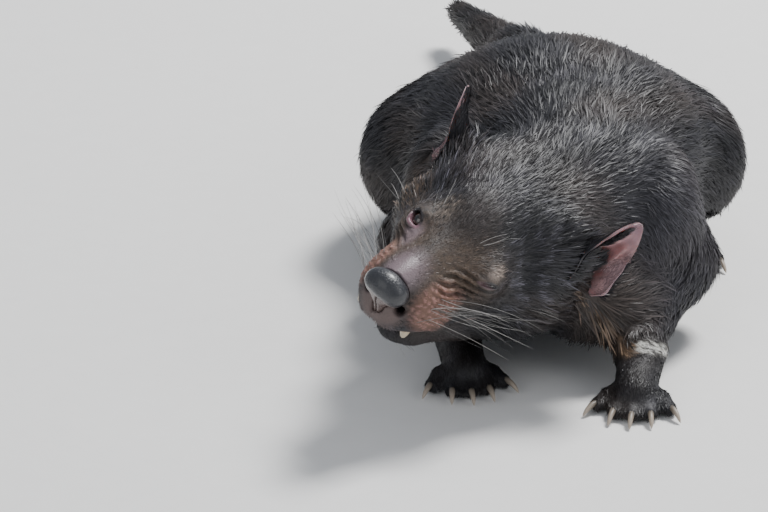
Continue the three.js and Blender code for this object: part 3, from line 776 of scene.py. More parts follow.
def markings_and_painted_light(p):
    """The colour of the skin and of the tufts' roots at each point: markings, with painted shade and
    painted highlight.
    """
    coat = bpy.context.scene.devil_coat
    face = bpy.context.scene.devil_face
    black, brown, tan, white = (np.array(c) for c in (coat.black, coat.brown, coat.tan, coat.white))
    pink, lilac, front = (np.array(c) for c in (face.pink, face.lilac, face.front))
    h = to_head(p)
    cheeks = folded(h)
    on_head = 1 - smooth_step(0, 14, SKULL(h))
    streaks = smooth_step(-1.2, 1.2, ripple(h, 4, 8))
    on_muzzle = on_head * streaks
    # Painted highlight: pale streaks over the cheek, where the fur catches the light.
    cheek_sheen = smooth_step(0.1, 1.6, ripple(h, 9, 12)) * patch(cheeks, *SHEEN_CHEEK)
    tone = black * np.exp(0.38 * ripple(p * (1, 0.4, 1), 12, 2) + 0.25 * ripple(p, 60, 3))[:, None]
    tone = layered(
        tone,
        (brown, 0.3 * smooth_step(-0.5, 1.3, ripple(p, 75, 1))),
        (brown, 0.6 * patch(p, *BROWN_THROAT)),
        (black * 4, 0.6 * patch(p, *PALE_SHOULDER)),
        (black * 9, 0.65 * cheek_sheen),
        (brown, 0.85 * on_head * patch(cheeks, *BROWN_MUZZLE)),
        (tan * 0.6, 0.35 * on_muzzle * patch(cheeks, *TAN_MUZZLE)),
        (lilac, 0.9 * on_head * patch(cheeks, *LILAC_BRIDGE)),
    )
    # Painted shade: darker on everything low down, most on the legs, toward the floor.
    tone = tone * (0.68 + 0.32 * smooth_step(20, 75, p[:, 2]))[:, None]
    tone = layered(
        tone,
        (brown * (2.6, 1.9, 1.8), 0.8 * on_head * on_pads(h)),
        (pink * (0.8, 0.95, 0.85), 0.65 * on_head * pad_bumps(h)),
    )
    # Painted shade and highlight on the folds over the whisker pads: lighter on their crests, darker in
    # their creases.
    tone = tone * (1 + 0.5 * on_head * snarl_folds(h))[:, None]
    tone = layered(
        tone,
        (lilac, 0.7 * on_head * patch(h, *UNDER_RIGHT_EYE)),
        (tan * (0.8, 0.95, 1.2), 0.7 * on_muzzle * patch(h, *RIGHT_BROW)),
        (tan * (1.0, 1.2, 1.6), 0.7 * on_head * patch(h, *LEFT_BROW)),
        (tan * 0.75, 0.75 * streaks * patch(p, *TAN_BEFORE_EAR)),
        (front, on_head * patch(cheeks, *MUZZLE_FRONT)),
    )
    for _, side in SIDES:
        along, _, up = eye_axes(side)
        ring, out = eye_ring(h, side, 1.4)
        rim = (1 - smooth_step(1.0, 1.3, ring)) * (out > 0) * on_head
        q = h - eye_place(side)
        low = smooth_step(-1.5, 2.5, q @ along * 0.4 - q @ up)
        moist = 0.85 * min(1, EYES[side][3][1] / 2)
        # Painted shade in the fold under each eye, then the lids' own colours on their rims.
        tone = layered(
            tone,
            (black * 0.6, 0.7 * on_head * under_lid(h, side)),
            (black * 1.2, 0.8 * rim * (1 - low)),
            (pink * (0.5, 0.62, 0.75), moist * rim * low),
        )
    gap = mouth_gap(h)
    mouth = on_head * (h[:, 0] > MOUTH_CORNER - 3)
    ruff = along_strand(p, RUFF, 5)
    mark = along_strand(p, CHEST_MARK, 4.2)
    # Lips, the inside of the mouth, painted shade inside the nostrils, the ruff and the chest mark.
    return layered(
        tone,
        (front * 1.3, 0.7 * mouth * (1 - smooth_step(0.6, 2.2, gap))),
        (pink * (0.85, 0.6, 0.6), mouth * (1 - smooth_step(-1.2, -0.2, gap))),
        (black * 0.3, on_head * (1 - smooth_step(-0.9, 0.5, NOSTRILS(h)))),
        (tan, 0.85 * ruff * smooth_step(-1.4, 0.6, ripple(p, 5, 5))),
        (white, 0.9 * mark * smooth_step(-1.5, 0.7, ripple(p * (0.3, 1, 1), 4, 6))),
    )


# How the hair lies: from the nose back over head and body, and down the legs to the toes.

def leg_lie(p, joints):
    """Down a leg: along whichever of its lengths is nearest."""
    ways = [unit(b - a) for a, b in zip(joints, joints[1:])]
    near = np.stack([limb(a, b, 0, 0)(p) for a, b in zip(joints, joints[1:])]) / 8
    weight = np.exp(near.min(axis=0) - near)
    return unit(sum(w[:, None] * way for w, way in zip(weight, ways)))


def lie_of_coat(p, near):
    weight = shares(near)
    h = to_head(p)
    head_way = unit((h - spot(NOSE_TIP + 12, 0, 6)) * (1, 1.1, 1)) @ HEAD_AXES
    side = p[:, 0] / TRUNK_HALF_WIDTH
    trunk_way = unit(np.stack([side * 0.45, np.ones(len(p)), -0.25 - 0.35 * np.abs(side)], axis=1))
    way = head_way * weight["head"][:, None] + trunk_way * weight["trunk"][:, None]
    way += unit(TAIL_TIP - TAIL_BASE) * weight["tail"][:, None]
    for name, (leg, mirror) in LEGS.items():
        flip = (mirror, 1, 1)
        way += leg_lie(p * flip, leg["joints"]) * flip * weight[name][:, None]
    ruff = along_strand(p, RUFF, 9)[:, None]
    mark = along_strand(p, CHEST_MARK, 8)[:, None]
    way = way * (1 - ruff) + unit(spot(*RUFF[-1]) - spot(*RUFF[0])) * ruff
    return way * (1 - mark) + unit(spot(1, 0.1, -0.35)) * mark


def forelock(h):
    """One on the hair that stands before each ear and over its front edge."""
    return patch(folded(h), *FORELOCK)


# Tuft lengths as shares of the back's, and the feet's in millimetres.
HEAD_TUFTS, TAIL_TUFTS, LEG_TUFTS = 0.62, 0.85, 0.66
FOOT_TUFT_LENGTH = 3.4


def tuft_length(p, near, h):
    coat = bpy.context.scene.devil_coat
    back, face = coat.back_length / MM, coat.face_length / MM
    crown = back * HEAD_TUFTS
    weight = shares(near)
    on_head = crown + (face - crown) * smooth_step(20, 96, h[:, 0])
    on_head += back * (0.5 * forelock(h) + 0.45 * patch(folded(h), *CHEEK_RUFF))
    length = on_head * weight["head"] + back * (weight["trunk"] + weight["tail"] * TAIL_TUFTS)
    for name in LEGS:
        length += back * LEG_TUFTS * weight[name]
    length += back * 0.7 * np.maximum(along_strand(p, RUFF, 8), 0.8 * along_strand(p, CHEST_MARK, 8))
    for _, side in SIDES:
        ring, out = eye_ring(h, side, 7)
        length *= 1 - 0.6 * (1 - smooth_step(0.7, 1.3, ring)) * (out > 0) * weight["head"]
    foot = foot_share(p)
    length = length * (1 - foot) + FOOT_TUFT_LENGTH * foot
    return length * (1 - 0.35 * on_pads(h) * weight["head"])


def bare(p, h):
    """Where no hair grows: nose, bridge, front of the muzzle, eyes, mouth, ear lobes and soles."""
    face = h[:, 0] > 40
    none = nose_field(h) < 1.0
    none |= patch(h, *BALD_FRONT) > 0.5
    none |= (patch(h, *BALD_BRIDGE) > 0.5) | (NOSTRILS(h) < 1.2)
    for _, side in SIDES:
        ring, out = eye_ring(h, side, 1.5)
        none |= (ring < 1) & (out > -2)
    none |= face & (h[:, 0] > MOUTH_CORNER - 4) & (mouth_gap(h) < 1.2)
    none |= face & (mouth_gap(h) < 5) & (np.abs(h[:, 0] - 123) < 8)
    none |= patch(folded(h), EAR_LOBE, (7, 7, 7)) > 0.5
    none |= p[:, 2] < 2.5
    return none


# Tufts: thin tapered blades, joined in a mesh or a few for each part of the body.

# Where a blade's rows of corners lie from root to tip, and how wide it is at each.
ROWS = np.array([0, 0.38, 0.74, 1.0])
ROW_WIDTHS = np.array([0.75, 1.0, 0.68, 0])
# How large each blade's patch on the bake map is, as a share of the map.
BAKE_PATCH = 0.003


def scatter(mesh, count, density_of, seed):
    """Places and normals of so many roots, spread over the mesh by their density."""
    draw = np.random.default_rng(seed)
    mesh.calc_loop_triangles()
    triangles = np.empty(len(mesh.loop_triangles) * 3, np.int32)
    mesh.loop_triangles.foreach_get("vertices", triangles)
    triangles = triangles.reshape(-1, 3)
    corners = corners_of(mesh)
    normals = np.empty(len(mesh.vertices) * 3, np.float32)
    mesh.vertex_normals.foreach_get("vector", normals)
    normals = normals.reshape(-1, 3)
    a, b, c = (corners[triangles[:, i]] for i in range(3))
    area = np.linalg.norm(np.cross(b - a, c - a), axis=1) / 2
    weight = area * density_of((a + b + c) / 3)
    total = np.cumsum(weight)
    targets = (np.arange(count) + draw.uniform(0, 1, count)) * total[-1] / count
    chosen = np.minimum(np.searchsorted(total, targets), len(triangles) - 1)
    u, v = draw.uniform(0, 1, (2, count))
    flip = u + v > 1
    u[flip], v[flip] = 1 - u[flip], 1 - v[flip]
    share = np.stack([1 - u - v, u, v], axis=1)[:, :, None]
    picked = triangles[chosen]
    return (corners[picked] * share).sum(axis=1), unit((normals[picked] * share).sum(axis=1))


def blades(roots, normals, ways, lengths, widths, rises, seed):
    """Corners of a tapered blade at each root, seven for each: three pairs and the tip."""
    draw = np.random.default_rng(seed)
    n = len(roots)
    ways = unit(ways - normals * np.einsum("ij,ij->i", ways, normals)[:, None])
    across = np.cross(normals, ways)
    swing = 0.2 * ripple(roots, 48, 11) + 0.2 * ripple(roots, 9, 12) + draw.normal(0, 0.1, n)
    ways = ways * np.cos(swing)[:, None] + across * np.sin(swing)[:, None]
    across = np.cross(normals, ways)
    twist = draw.normal(0, 0.35, n)
    flat = across * np.cos(twist)[:, None] + normals * np.sin(twist)[:, None]
    bend = draw.normal(0, 0.07, n)
    corners = np.empty((n, 7, 3))
    for row, (t, width) in enumerate(zip(ROWS, ROW_WIDTHS)):
        middle = (
            roots + ways * (lengths * t)[:, None]
            + normals * (rises * (1 - (1 - t) ** 2) - 0.4)[:, None]
            + across * (lengths * bend * t * t)[:, None]
        )
        half = flat * (widths * width / 2)[:, None]
        if width:
            corners[:, 2 * row] = middle - half
            corners[:, 2 * row + 1] = middle + half
        else:
            corners[:, 2 * row] = middle
    return corners


def tuft_mesh(name, corners, tones, unwrapped):
    """One mesh of blades, with their colours and their patches on the bake map."""
    n = len(corners)
    first = 7 * np.arange(n)[:, None]
    quads = np.concatenate([first + [0, 1, 3, 2], first + [2, 3, 5, 4]])
    tips = first + [4, 5, 6]
    mesh = bpy.data.meshes.new(name)
    fill_mesh(mesh, corners.reshape(-1, 3), [quads, tips])
    paint(mesh, "Tone", tones.reshape(-1, 3))
    side = np.array([-1, 1, -1, 1, -1, 1, 0]) * BAKE_PATCH / 2
    along = (np.repeat(ROWS, 2)[:7] - 0.5) * BAKE_PATCH
    flat = unwrapped[:, None, :] + np.stack([side, along], axis=1)[None]
    flat = flat.reshape(-1, 2)
    order = np.empty(len(mesh.loops), np.int32)
    mesh.loops.foreach_get("vertex_index", order)
    bake = mesh.uv_layers.new(name="OFBake")
    bake.data.foreach_set("uv", flat[order].astype(np.float32).ravel())
    return link(name, mesh)


def unwrap_round(p, a, b):
    """Places on an unwrapping of the skin round the line from a to b, from 0 to 1 each way."""
    ahead = unit(b - a)
    level = unit(np.cross(ahead, (0.02, 0.03, 1)))
    up = np.cross(level, ahead)
    q = p - a
    turn = np.arctan2(q @ level, -(q @ up)) / (2 * math.pi) + 0.5
    along = q @ ahead
    low, high = along.min(), along.max()
    first, last = turn.min(), turn.max()
    flat = np.stack([(turn - first) / (last - first), (along - low) / (high - low)], axis=1)
    return 0.005 + 0.99 * flat


# The operators.

SKIN_BOX = ((-150, -70, -3), (150, 640, 190))
SKIN_STEP = 2.6


class DEVIL_OT_skin(bpy.types.Operator):
    """Build the one skin of head, body, legs and tail"""

    bl_idname = "devil.skin"
    bl_label = "Skin"

    def execute(self, context):
        corners, quads = surface_of(skin_field, *SKIN_BOX, SKIN_STEP)
        corners = settle(skin_field, corners, 0.8)
        piece = new_mesh("skin", corners, quads)
        refine(piece.data, face_zone, 0.5)
        refine(piece.data, fine_zone, 0.3)
        refine(piece.data, lid_zone, 0.15)
        places = corners_of(piece.data)
        paint(piece.data, "Tone", markings_and_painted_light(places), skin_roughness(to_head(places)))
        material = painted("bare skin", scale=900, amount=0.5, strength=0.6, distance=0.0005)
        flesh_nodes = ["torso", "neck", "head", "jaw", "tail"]
        for leg in LEGS:
            flesh_nodes += [leg, leg.replace("leg", "paw" if "fore" in leg else "foot")]
        finish_piece(piece, material, "coat", *flesh_nodes)
        return {"FINISHED"}


def skin_roughness(h):
    """The bridge of the nose, the lids and the inside of the mouth are moist."""
    moist = 0.8 * patch(h, *MOIST_BRIDGE)
    in_mouth = (h[:, 0] > MOUTH_CORNER) & (np.abs(h[:, 1]) < 40)
    moist += in_mouth * (1 - smooth_step(-1.5, 0.5, mouth_gap(h)))
    for _, side in SIDES:
        ring, out = eye_ring(h, side, 1.5)
        moist += (1 - smooth_step(1, 1.4, ring)) * (out > 0)
    return 0.6 - 0.32 * np.clip(moist, 0, 1)


# The skin's mesh gets finer in three steps: on the face, round muzzle and eyes, and at the lids.

def face_zone(p):
    h = to_head(p)
    return (h[:, 0] > 36) & (np.abs(h[:, 1]) < 60)


def fine_zone(p):
    h = to_head(p)
    return (h[:, 0] > 78) & (h[:, 2] > -60) | (from_eyes(h) < 15)


def lid_zone(p):
    return from_eyes(to_head(p)) < 11


def from_eyes(h):
    """How far each point is from the nearer eye's middle."""
    return np.minimum(*[np.linalg.norm(h - eye_place(side), axis=1) for _, side in SIDES])


def refine(mesh, zone, reach):
    """Splits the faces in a zone in four, and settles their corners again."""
    shape = bmesh.new()
    shape.from_mesh(mesh)
    shape.verts.ensure_lookup_table()
    places = corners_of(mesh)
    inside = zone(places)
    edges = [e for e in shape.edges if inside[e.verts[0].index] and inside[e.verts[1].index]]
    bmesh.ops.subdivide_edges(shape, edges=edges, cuts=1, use_grid_fill=True)
    shape.to_mesh(mesh)
    shape.free()
    places = corners_of(mesh)
    chosen = zone(places)
    places[chosen] = settle(skin_field, places[chosen], reach)
    mesh.vertices.foreach_set("co", (places * MM + SHIFT).astype(np.float32).ravel())
    mesh.update()
    mesh.shade_smooth()


class DEVIL_OT_coat(bpy.types.Operator):
    """Cover the skin with tufts, in a mesh or a few for each part of the body"""

    bl_idname = "devil.coat"
    bl_label = "Coat"

    def execute(self, context):
        skin = bpy.data.objects.get("skin")
        if skin is None:
            raise RuntimeError("the skin is built before the coat")
        hair = painted(
            "coat hair", scale=700, amount=0.25, strength=0.1, distance=0.0002,
            Roughness=0.5)
        roots, normals = scatter(skin.data, context.scene.devil_coat.tufts, tuft_density, 21)
        h = to_head(roots)
        kept = ~bare(roots, h)
        roots, normals, h = roots[kept], normals[kept], h[kept]
        near = nearness(roots)
        weight = shares(near)
        draw = np.random.default_rng(22)
        vary = draw.normal(0, 1, (3, len(roots)))
        lengths = tuft_length(roots, near, h) * np.exp(0.18 * vary[0])
        widths = tuft_width(lengths) * np.exp(0.2 * vary[1])
        rises = lengths * np.clip(0.14 + 0.05 * vary[2] + 0.4 * weight["head"] * forelock(h), 0.04, 0.6)
        corners = blades(roots, normals, lie_of_coat(roots, near), lengths, widths, rises, 23)
        corners[:, :, 2] = np.maximum(corners[:, :, 2], 0.6)
        tones = tuft_tones(roots, 24)
        names = list(weight)
        owner = np.argmax(np.stack([weight[n] for n in names]), axis=0)
        for index, name in enumerate(names):
            for part, chosen in coat_parts(name, owner == index, roots, h):
                flat = unwrap_round(roots[chosen], *COAT_LINES[name])
                piece = tuft_mesh(part, corners[chosen], tones[chosen], flat)
                finish_piece(piece, hair, "coat")
        return {"FINISHED"}


COAT_LINES = {
    "head": (from_head(spot(-30, 0, 0)), from_head(spot(NOSE_TIP, 0, -10))),
    "trunk": (spot(0, 50, 78), spot(0, 380, 76)),
    "tail": (TAIL_BASE, TAIL_TIP),
    **{name: (leg["joints"][0] * (side, 1, 1), leg["joints"][2] * (side, 1, 1))
       for name, (leg, side) in LEGS.items()},
}


def coat_parts(name, mine, roots, h):
    """The head's and trunk's tufts are in several pieces, so that no mesh grows too large."""
    if name not in {"head", "trunk"}:
        return [(f"coat_{name}", mine)]
    across = h[:, 1] if name == "head" else roots[:, 0]
    halves = (("left", mine & (across >= 0)), ("right", mine & (across < 0)))
    if name == "trunk":
        return [(f"coat_trunk_{side}", half) for side, half in halves]
    muzzle = h[:, 0] > 62
    return [
        (f"coat_{part}_{side}", half & zone)
        for part, zone in (("head", ~muzzle), ("muzzle", muzzle)) for side, half in halves
    ]


def tuft_width(lengths):
    """Longer tufts are wider."""
    return 0.25 + 0.027 * lengths


def tuft_density(p):
    """Enough tufts to cover the skin everywhere, and fewer on the whisker pads."""
    near = nearness(p)
    h = to_head(p)
    lengths = tuft_length(p, near, h)
    return (1 - 0.7 * shares(near)["head"] * on_pads(h)) / (lengths * tuft_width(lengths))


def tuft_tones(roots, seed):
    """The colour of each blade at its seven corners: its marking, darker at the root as painted shade
    among the tufts and paler toward the tip. It varies from tuft to tuft, most on the cheeks and crown."""
    draw = np.random.default_rng(seed)
    spread = 0.28 + 0.2 * patch(to_head(roots), (28, 0, 4), (50, 75, 50))
    tone = markings_and_painted_light(roots) * np.exp(draw.normal(0, 1, len(roots)) * spread)[:, None]
    # Painted shade at the root; the paler tip is the hair's own.
    root_shade_to_tip = np.array([0.65, 0.65, 0.95, 0.95, 1.15, 1.15, 1.3])
    return np.clip(tone[:, None, :] * root_shade_to_tip[None, :, None], 0, 0.9)


class DEVIL_OT_nose(bpy.types.Operator):
    """Build the nose leather and the bare front of the muzzle"""

    bl_idname = "devil.nose"
    bl_label = "Nose"

    def execute(self, context):
        face = context.scene.devil_face
        low, high = (NOSE_TIP - 27, -23, -32), (NOSE_TIP + 4, 23, 15)
        corners, quads = surface_of(nose_field, low, high, 0.55)
        corners = settle(nose_field, corners, 0.2)
        piece = new_mesh("nose_pad", from_head(corners), quads)
        leather, front = np.array(face.leather), np.array(face.front)
        under = smooth_step(-2.2, -5.5, corners[:, 2] + 0.012 * corners[:, 1] ** 2)
        tone = faded(leather, front, under)
        # Painted shade inside the nostrils.
        inside = 1 - smooth_step(-0.4, 1.0, NOSTRILS(corners))
        tone = mixed(tone, leather * 0.25, inside)
        paint(piece.data, "Tone", tone)
        material = painted(
            "nose leather", scale=1000, amount=0.5, strength=0.9, distance=0.0006,
            Roughness=0.34, Coat_Weight=0.5, Coat_Roughness=0.25)
        finish_piece(piece, material, "nose_leather", "nose")
        return {"FINISHED"}


class DEVIL_OT_eyes(bpy.types.Operator):
    """Build both eyeballs"""

    bl_idname = "devil.eyes"
    bl_label = "Eyes"

    def execute(self, context):
        iris = np.array(context.scene.devil_face.iris)
        wet = painted(
            "wet eye", scale=1500, amount=0.35, strength=0, distance=0.0001,
            Roughness=0.04, Coat_Weight=1.0, Coat_Roughness=0.02)
        rings, sectors = 40, 48
        angle, turn = np.meshgrid(
            np.linspace(0.001, math.pi, rings),
            np.linspace(0, 2 * math.pi, sectors, endpoint=False),
            indexing="ij",
        )
        cornea = 0.6 * np.clip(1 - (angle / 0.75) ** 2, 0, 1)
        radius = EYE_RADIUS + cornea
        for name, side in SIDES:
            along, outward, up = eye_axes(side)
            aside = np.cos(turn)[..., None] * along + np.sin(turn)[..., None] * up
            ways = np.cos(angle)[..., None] * outward + np.sin(angle)[..., None] * aside
            corners = from_head((eye_place(side) + ways * radius[..., None]).reshape(-1, 3))
            piece = new_mesh(f"eyeball_{name}", corners, grid_faces(rings, sectors, True))
            flat = angle.ravel()
            corner = smooth_step(0.72, 0.95, flat) * smooth_step(0.5, 0.9, np.cos(turn).ravel())
            tone = layered(
                faded(iris, iris * 0.02, 1 - smooth_step(0.24, 0.3, flat)),
                (iris * 0.35, smooth_step(0.6, 0.72, flat)),
                (np.array((0.2, 0.05, 0.045)), corner),
            )
            paint(piece.data, "Tone", tone)
            finish_piece(piece, wet, "eye", f"eye_{name}")
        return {"FINISHED"}


def grid_faces(rows, columns, closed=False):
    """Four-sided faces of a grid of corners, which may close round its columns."""
    across = np.arange(columns if closed else columns - 1)
    i, k = (a.ravel() for a in np.meshgrid(np.arange(rows - 1), across, indexing="ij"))
    after = (k + 1) % columns
    here, above = i * columns, (i + 1) * columns
    return np.stack([here + k, here + after, above + after, above + k], axis=1)


def horn(root, tip, radius, bend, sides=12, rows=9):
    """Corners of a claw, tooth or whisker: a cone from root to tip, bowed upward by the bend."""
    way = unit(tip - root)
    level = unit(np.cross(way, (0.05, 0.02, 1)))
    up = np.cross(level, way)
    share = np.linspace(0, 1, rows)
    middle = root + (tip - root) * share[:, None] + up * (bend * 4 * share * (1 - share))[:, None]
    around = np.linspace(0, 2 * math.pi, sides, endpoint=False)
    ring = np.cos(around)[:, None] * level + np.sin(around)[:, None] * up
    thick = radius * np.sqrt(np.clip(1 - share ** 1.6, 0.0004, 1))
    return middle[:, None] + ring[None] * thick[:, None, None]


def horns_mesh(name, horns):
    """One mesh of horns, and how far each corner is from root to tip."""
    rows, sides = horns[0].shape[:2]
    faces = grid_faces(rows, sides, True)
    corners = np.concatenate([h.reshape(-1, 3) for h in horns])
    all_faces = np.concatenate([faces + i * rows * sides for i in range(len(horns))])
    share = np.tile(np.repeat(np.linspace(0, 1, rows), sides), len(horns))
    return new_mesh(name, corners, all_faces), share


class DEVIL_OT_claws(bpy.types.Operator):
    """Build a claw on every toe"""

    bl_idname = "devil.claws"
    bl_label = "Claws"

    def execute(self, context):
        dark = np.array(context.scene.devil_face.horn)
        material = painted(
            "worn horn", scale=1800, amount=0.4, strength=0.15, distance=0.0002,
            Roughness=0.42)
        for name, (leg, side) in LEGS.items():
            paw = name.replace("foreleg", "forepaw").replace("hindleg", "hindfoot")
            for i, (root, tip) in enumerate(leg["toes"]):
                ahead = unit((tip - root) * (1, 1, 0))
                start, end = tip + ahead, tip + ahead * 15
                start[2], end[2] = tip[2] + 1.5, 1.2
                shape = horn((start - ahead * 2) * (side, 1, 1), end * (side, 1, 1), 2.2, 2.2)
                piece, share = horns_mesh(f"{paw}_claw_{i + 1}", [shape])
                tone = faded(dark * 0.5, dark * 1.6, smooth_step(0.1, 0.9, share))
                paint(piece.data, "Tone", tone)
                finish_piece(piece, material, "claw_horn", f"claw_{paw}_{i + 1}")
        return {"FINISHED"}


class DEVIL_OT_mouth(bpy.types.Operator):
    """Build the teeth and the tongue"""

    bl_idname = "devil.mouth"
    bl_label = "Mouth"

    def execute(self, context):
        face = context.scene.devil_face
        teeth = tooth_row(UPPER_TEETH, lambda x: MOUTH_HEIGHT + 1, -1, 3.5)
        teeth += tooth_row(LOWER_TEETH, lower_gum, 1, 6.5)
        piece, share = horns_mesh("teeth", [from_head(t) for t in teeth])
        ivory = np.array(face.ivory)
        tone = faded(ivory * (0.75, 0.6, 0.45), ivory, smooth_step(0.1, 0.6, share))
        paint(piece.data, "Tone", tone)
        material = painted(
            "tooth ivory", scale=900, amount=0.3, strength=0, distance=0.0001,
            Roughness=0.28)
        finish_piece(piece, material, "claw_horn")
        drop = lower_gum(86)
        tongue = egg(spot(86, 0, drop), (18, 7.5, 3.4), (0, 14, 0))
        corners, quads = surface_of(tongue, (64, -10, drop - 10), (108, 10, drop + 10), 0.8)
        corners = settle(tongue, corners, 0.3)
        piece = new_mesh("wet_tongue", from_head(corners), quads)
        paint(piece.data, "Tone", np.tile(np.array(face.pink) * (0.9, 0.65, 0.7), (len(corners), 1)))
        flesh_wet = painted(
            "wet flesh", scale=1600, amount=0.3, strength=0.4, distance=0.0003,
            Roughness=0.25)
        finish_piece(piece, flesh_wet, "wet_flesh", "tongue")
        return {"FINISHED"}


# Each tooth of one side has its place ahead and aside, its height over the gum and its radius.
UPPER_TEETH = (
    (124, 1.9, 4.6, 1.5), (123.5, 5.4, 4.6, 1.5), (122, 9, 4.8, 1.6), (122, 18, 7.6, 4.0),
    (111, 18, 6, 2.3), (102, 18.5, 6.4, 2.5), (92, 18.5, 6.4, 2.5),
)
LOWER_TEETH = (
    (106, 1.7, 3.8, 1.4), (105, 5, 3.8, 1.4), (102, 9.5, 7.2, 2.6),
    (93, 12.5, 5, 2.2), (84, 14, 5.2, 2.3), (76, 15, 5.2, 2.3),
)


def lower_gum(x):
    return MOUTH_HEIGHT - (x - MOUTH_CORNER) * JAW_DROP - 1


def tooth_row(places, gum_at, way, root_depth):
    """The teeth of one jaw, which point up where the way is 1 and down where it is -1."""
    teeth = []
    for side in (1, -1):
        for x, y, height, radius in places:
            root = spot(x, y * side, gum_at(x) - way * root_depth)
            tip = spot(x + 0.2 * height, y * side * 1.04, gum_at(x) + way * height)
            teeth.append(horn(root, tip, radius, 0))
    return teeth


class DEVIL_OT_whiskers(bpy.types.Operator):
    """Build the whiskers of the pads, brows and cheeks"""

    bl_idname = "devil.whiskers"
    bl_label = "Whiskers"

    def execute(self, context):
        draw = np.random.default_rng(31)
        strands, greys = [], []
        for _, side in SIDES:
            for middle, spread, way, fan, reach, count in WHISKER_GROUPS:
                for _ in range(count):
                    near = middle + draw.normal(0, 1, 3) * spread
                    root = settle(skin_in_head, (near * (1, side, 1))[None], 3, 12)[0]
                    aim = unit(unit(way) + draw.normal(0, fan, 3)) * (1, side, 1)
                    length = draw.uniform(*reach)
                    bow = draw.uniform(-0.07, 0.12) * length
                    ends = from_head(np.stack([root - aim * 1.5, root + aim * length]))
                    thick = draw.uniform(0.13, 0.22)
                    strands.append(horn(*ends, thick, bow, WHISKER_SIDES, WHISKER_ROWS))
                    greys.append(draw.choice(WHISKER_GREYS, p=GREY_SHARES))
        piece, share = horns_mesh("whiskers", strands)
        tone = np.repeat(np.array(greys), WHISKER_SIDES * WHISKER_ROWS)[:, None] * (1, 0.95, 0.9)
        corners = corners_of(piece.data)
        corners[:, 2] = np.maximum(corners[:, 2], 0.5)
        piece.data.vertices.foreach_set("co", (corners * MM + SHIFT).astype(np.float32).ravel())
        paint(piece.data, "Tone", tone)
        material = painted(
            "whisker hair", scale=400, amount=0.1, strength=0, distance=0.0001,
            Roughness=0.35)
        finish_piece(piece, material, "coat")
        return {"FINISHED"}


def skin_in_head(h):
    return skin_field(from_head(h))


WHISKER_SIDES, WHISKER_ROWS = 5, 12
# From whitish to black, and how many of the whiskers are of each.
WHISKER_GREYS = (0.4, 0.22, 0.08, 0.025)
GREY_SHARES = (0.3, 0.25, 0.2, 0.25)
# The left side's groups: middle, spread, way, fan, shortest and longest, and how many.
WHISKER_GROUPS = (
    (spot(112, 24, -8), (6, 2, 6), spot(-0.45, 0.8, 0.2), 0.14, (40, 68), 12),
    (spot(104, 27, -14), (6, 2, 4), spot(-0.6, 0.75, -0.25), 0.14, (38, 68), 10),
    (spot(70, 20, 26), (4, 3, 1), spot(-0.6, 0.3, 0.5), 0.2, (16, 28), 3),
    (spot(46, 56, -14), (3, 2, 3), spot(-0.6, 0.7, -0.2), 0.2, (22, 36), 4),
    (spot(96, 8, -58), (6, 3, 1), spot(-0.3, 0.35, -0.6), 0.25, (10, 18), 4),
)


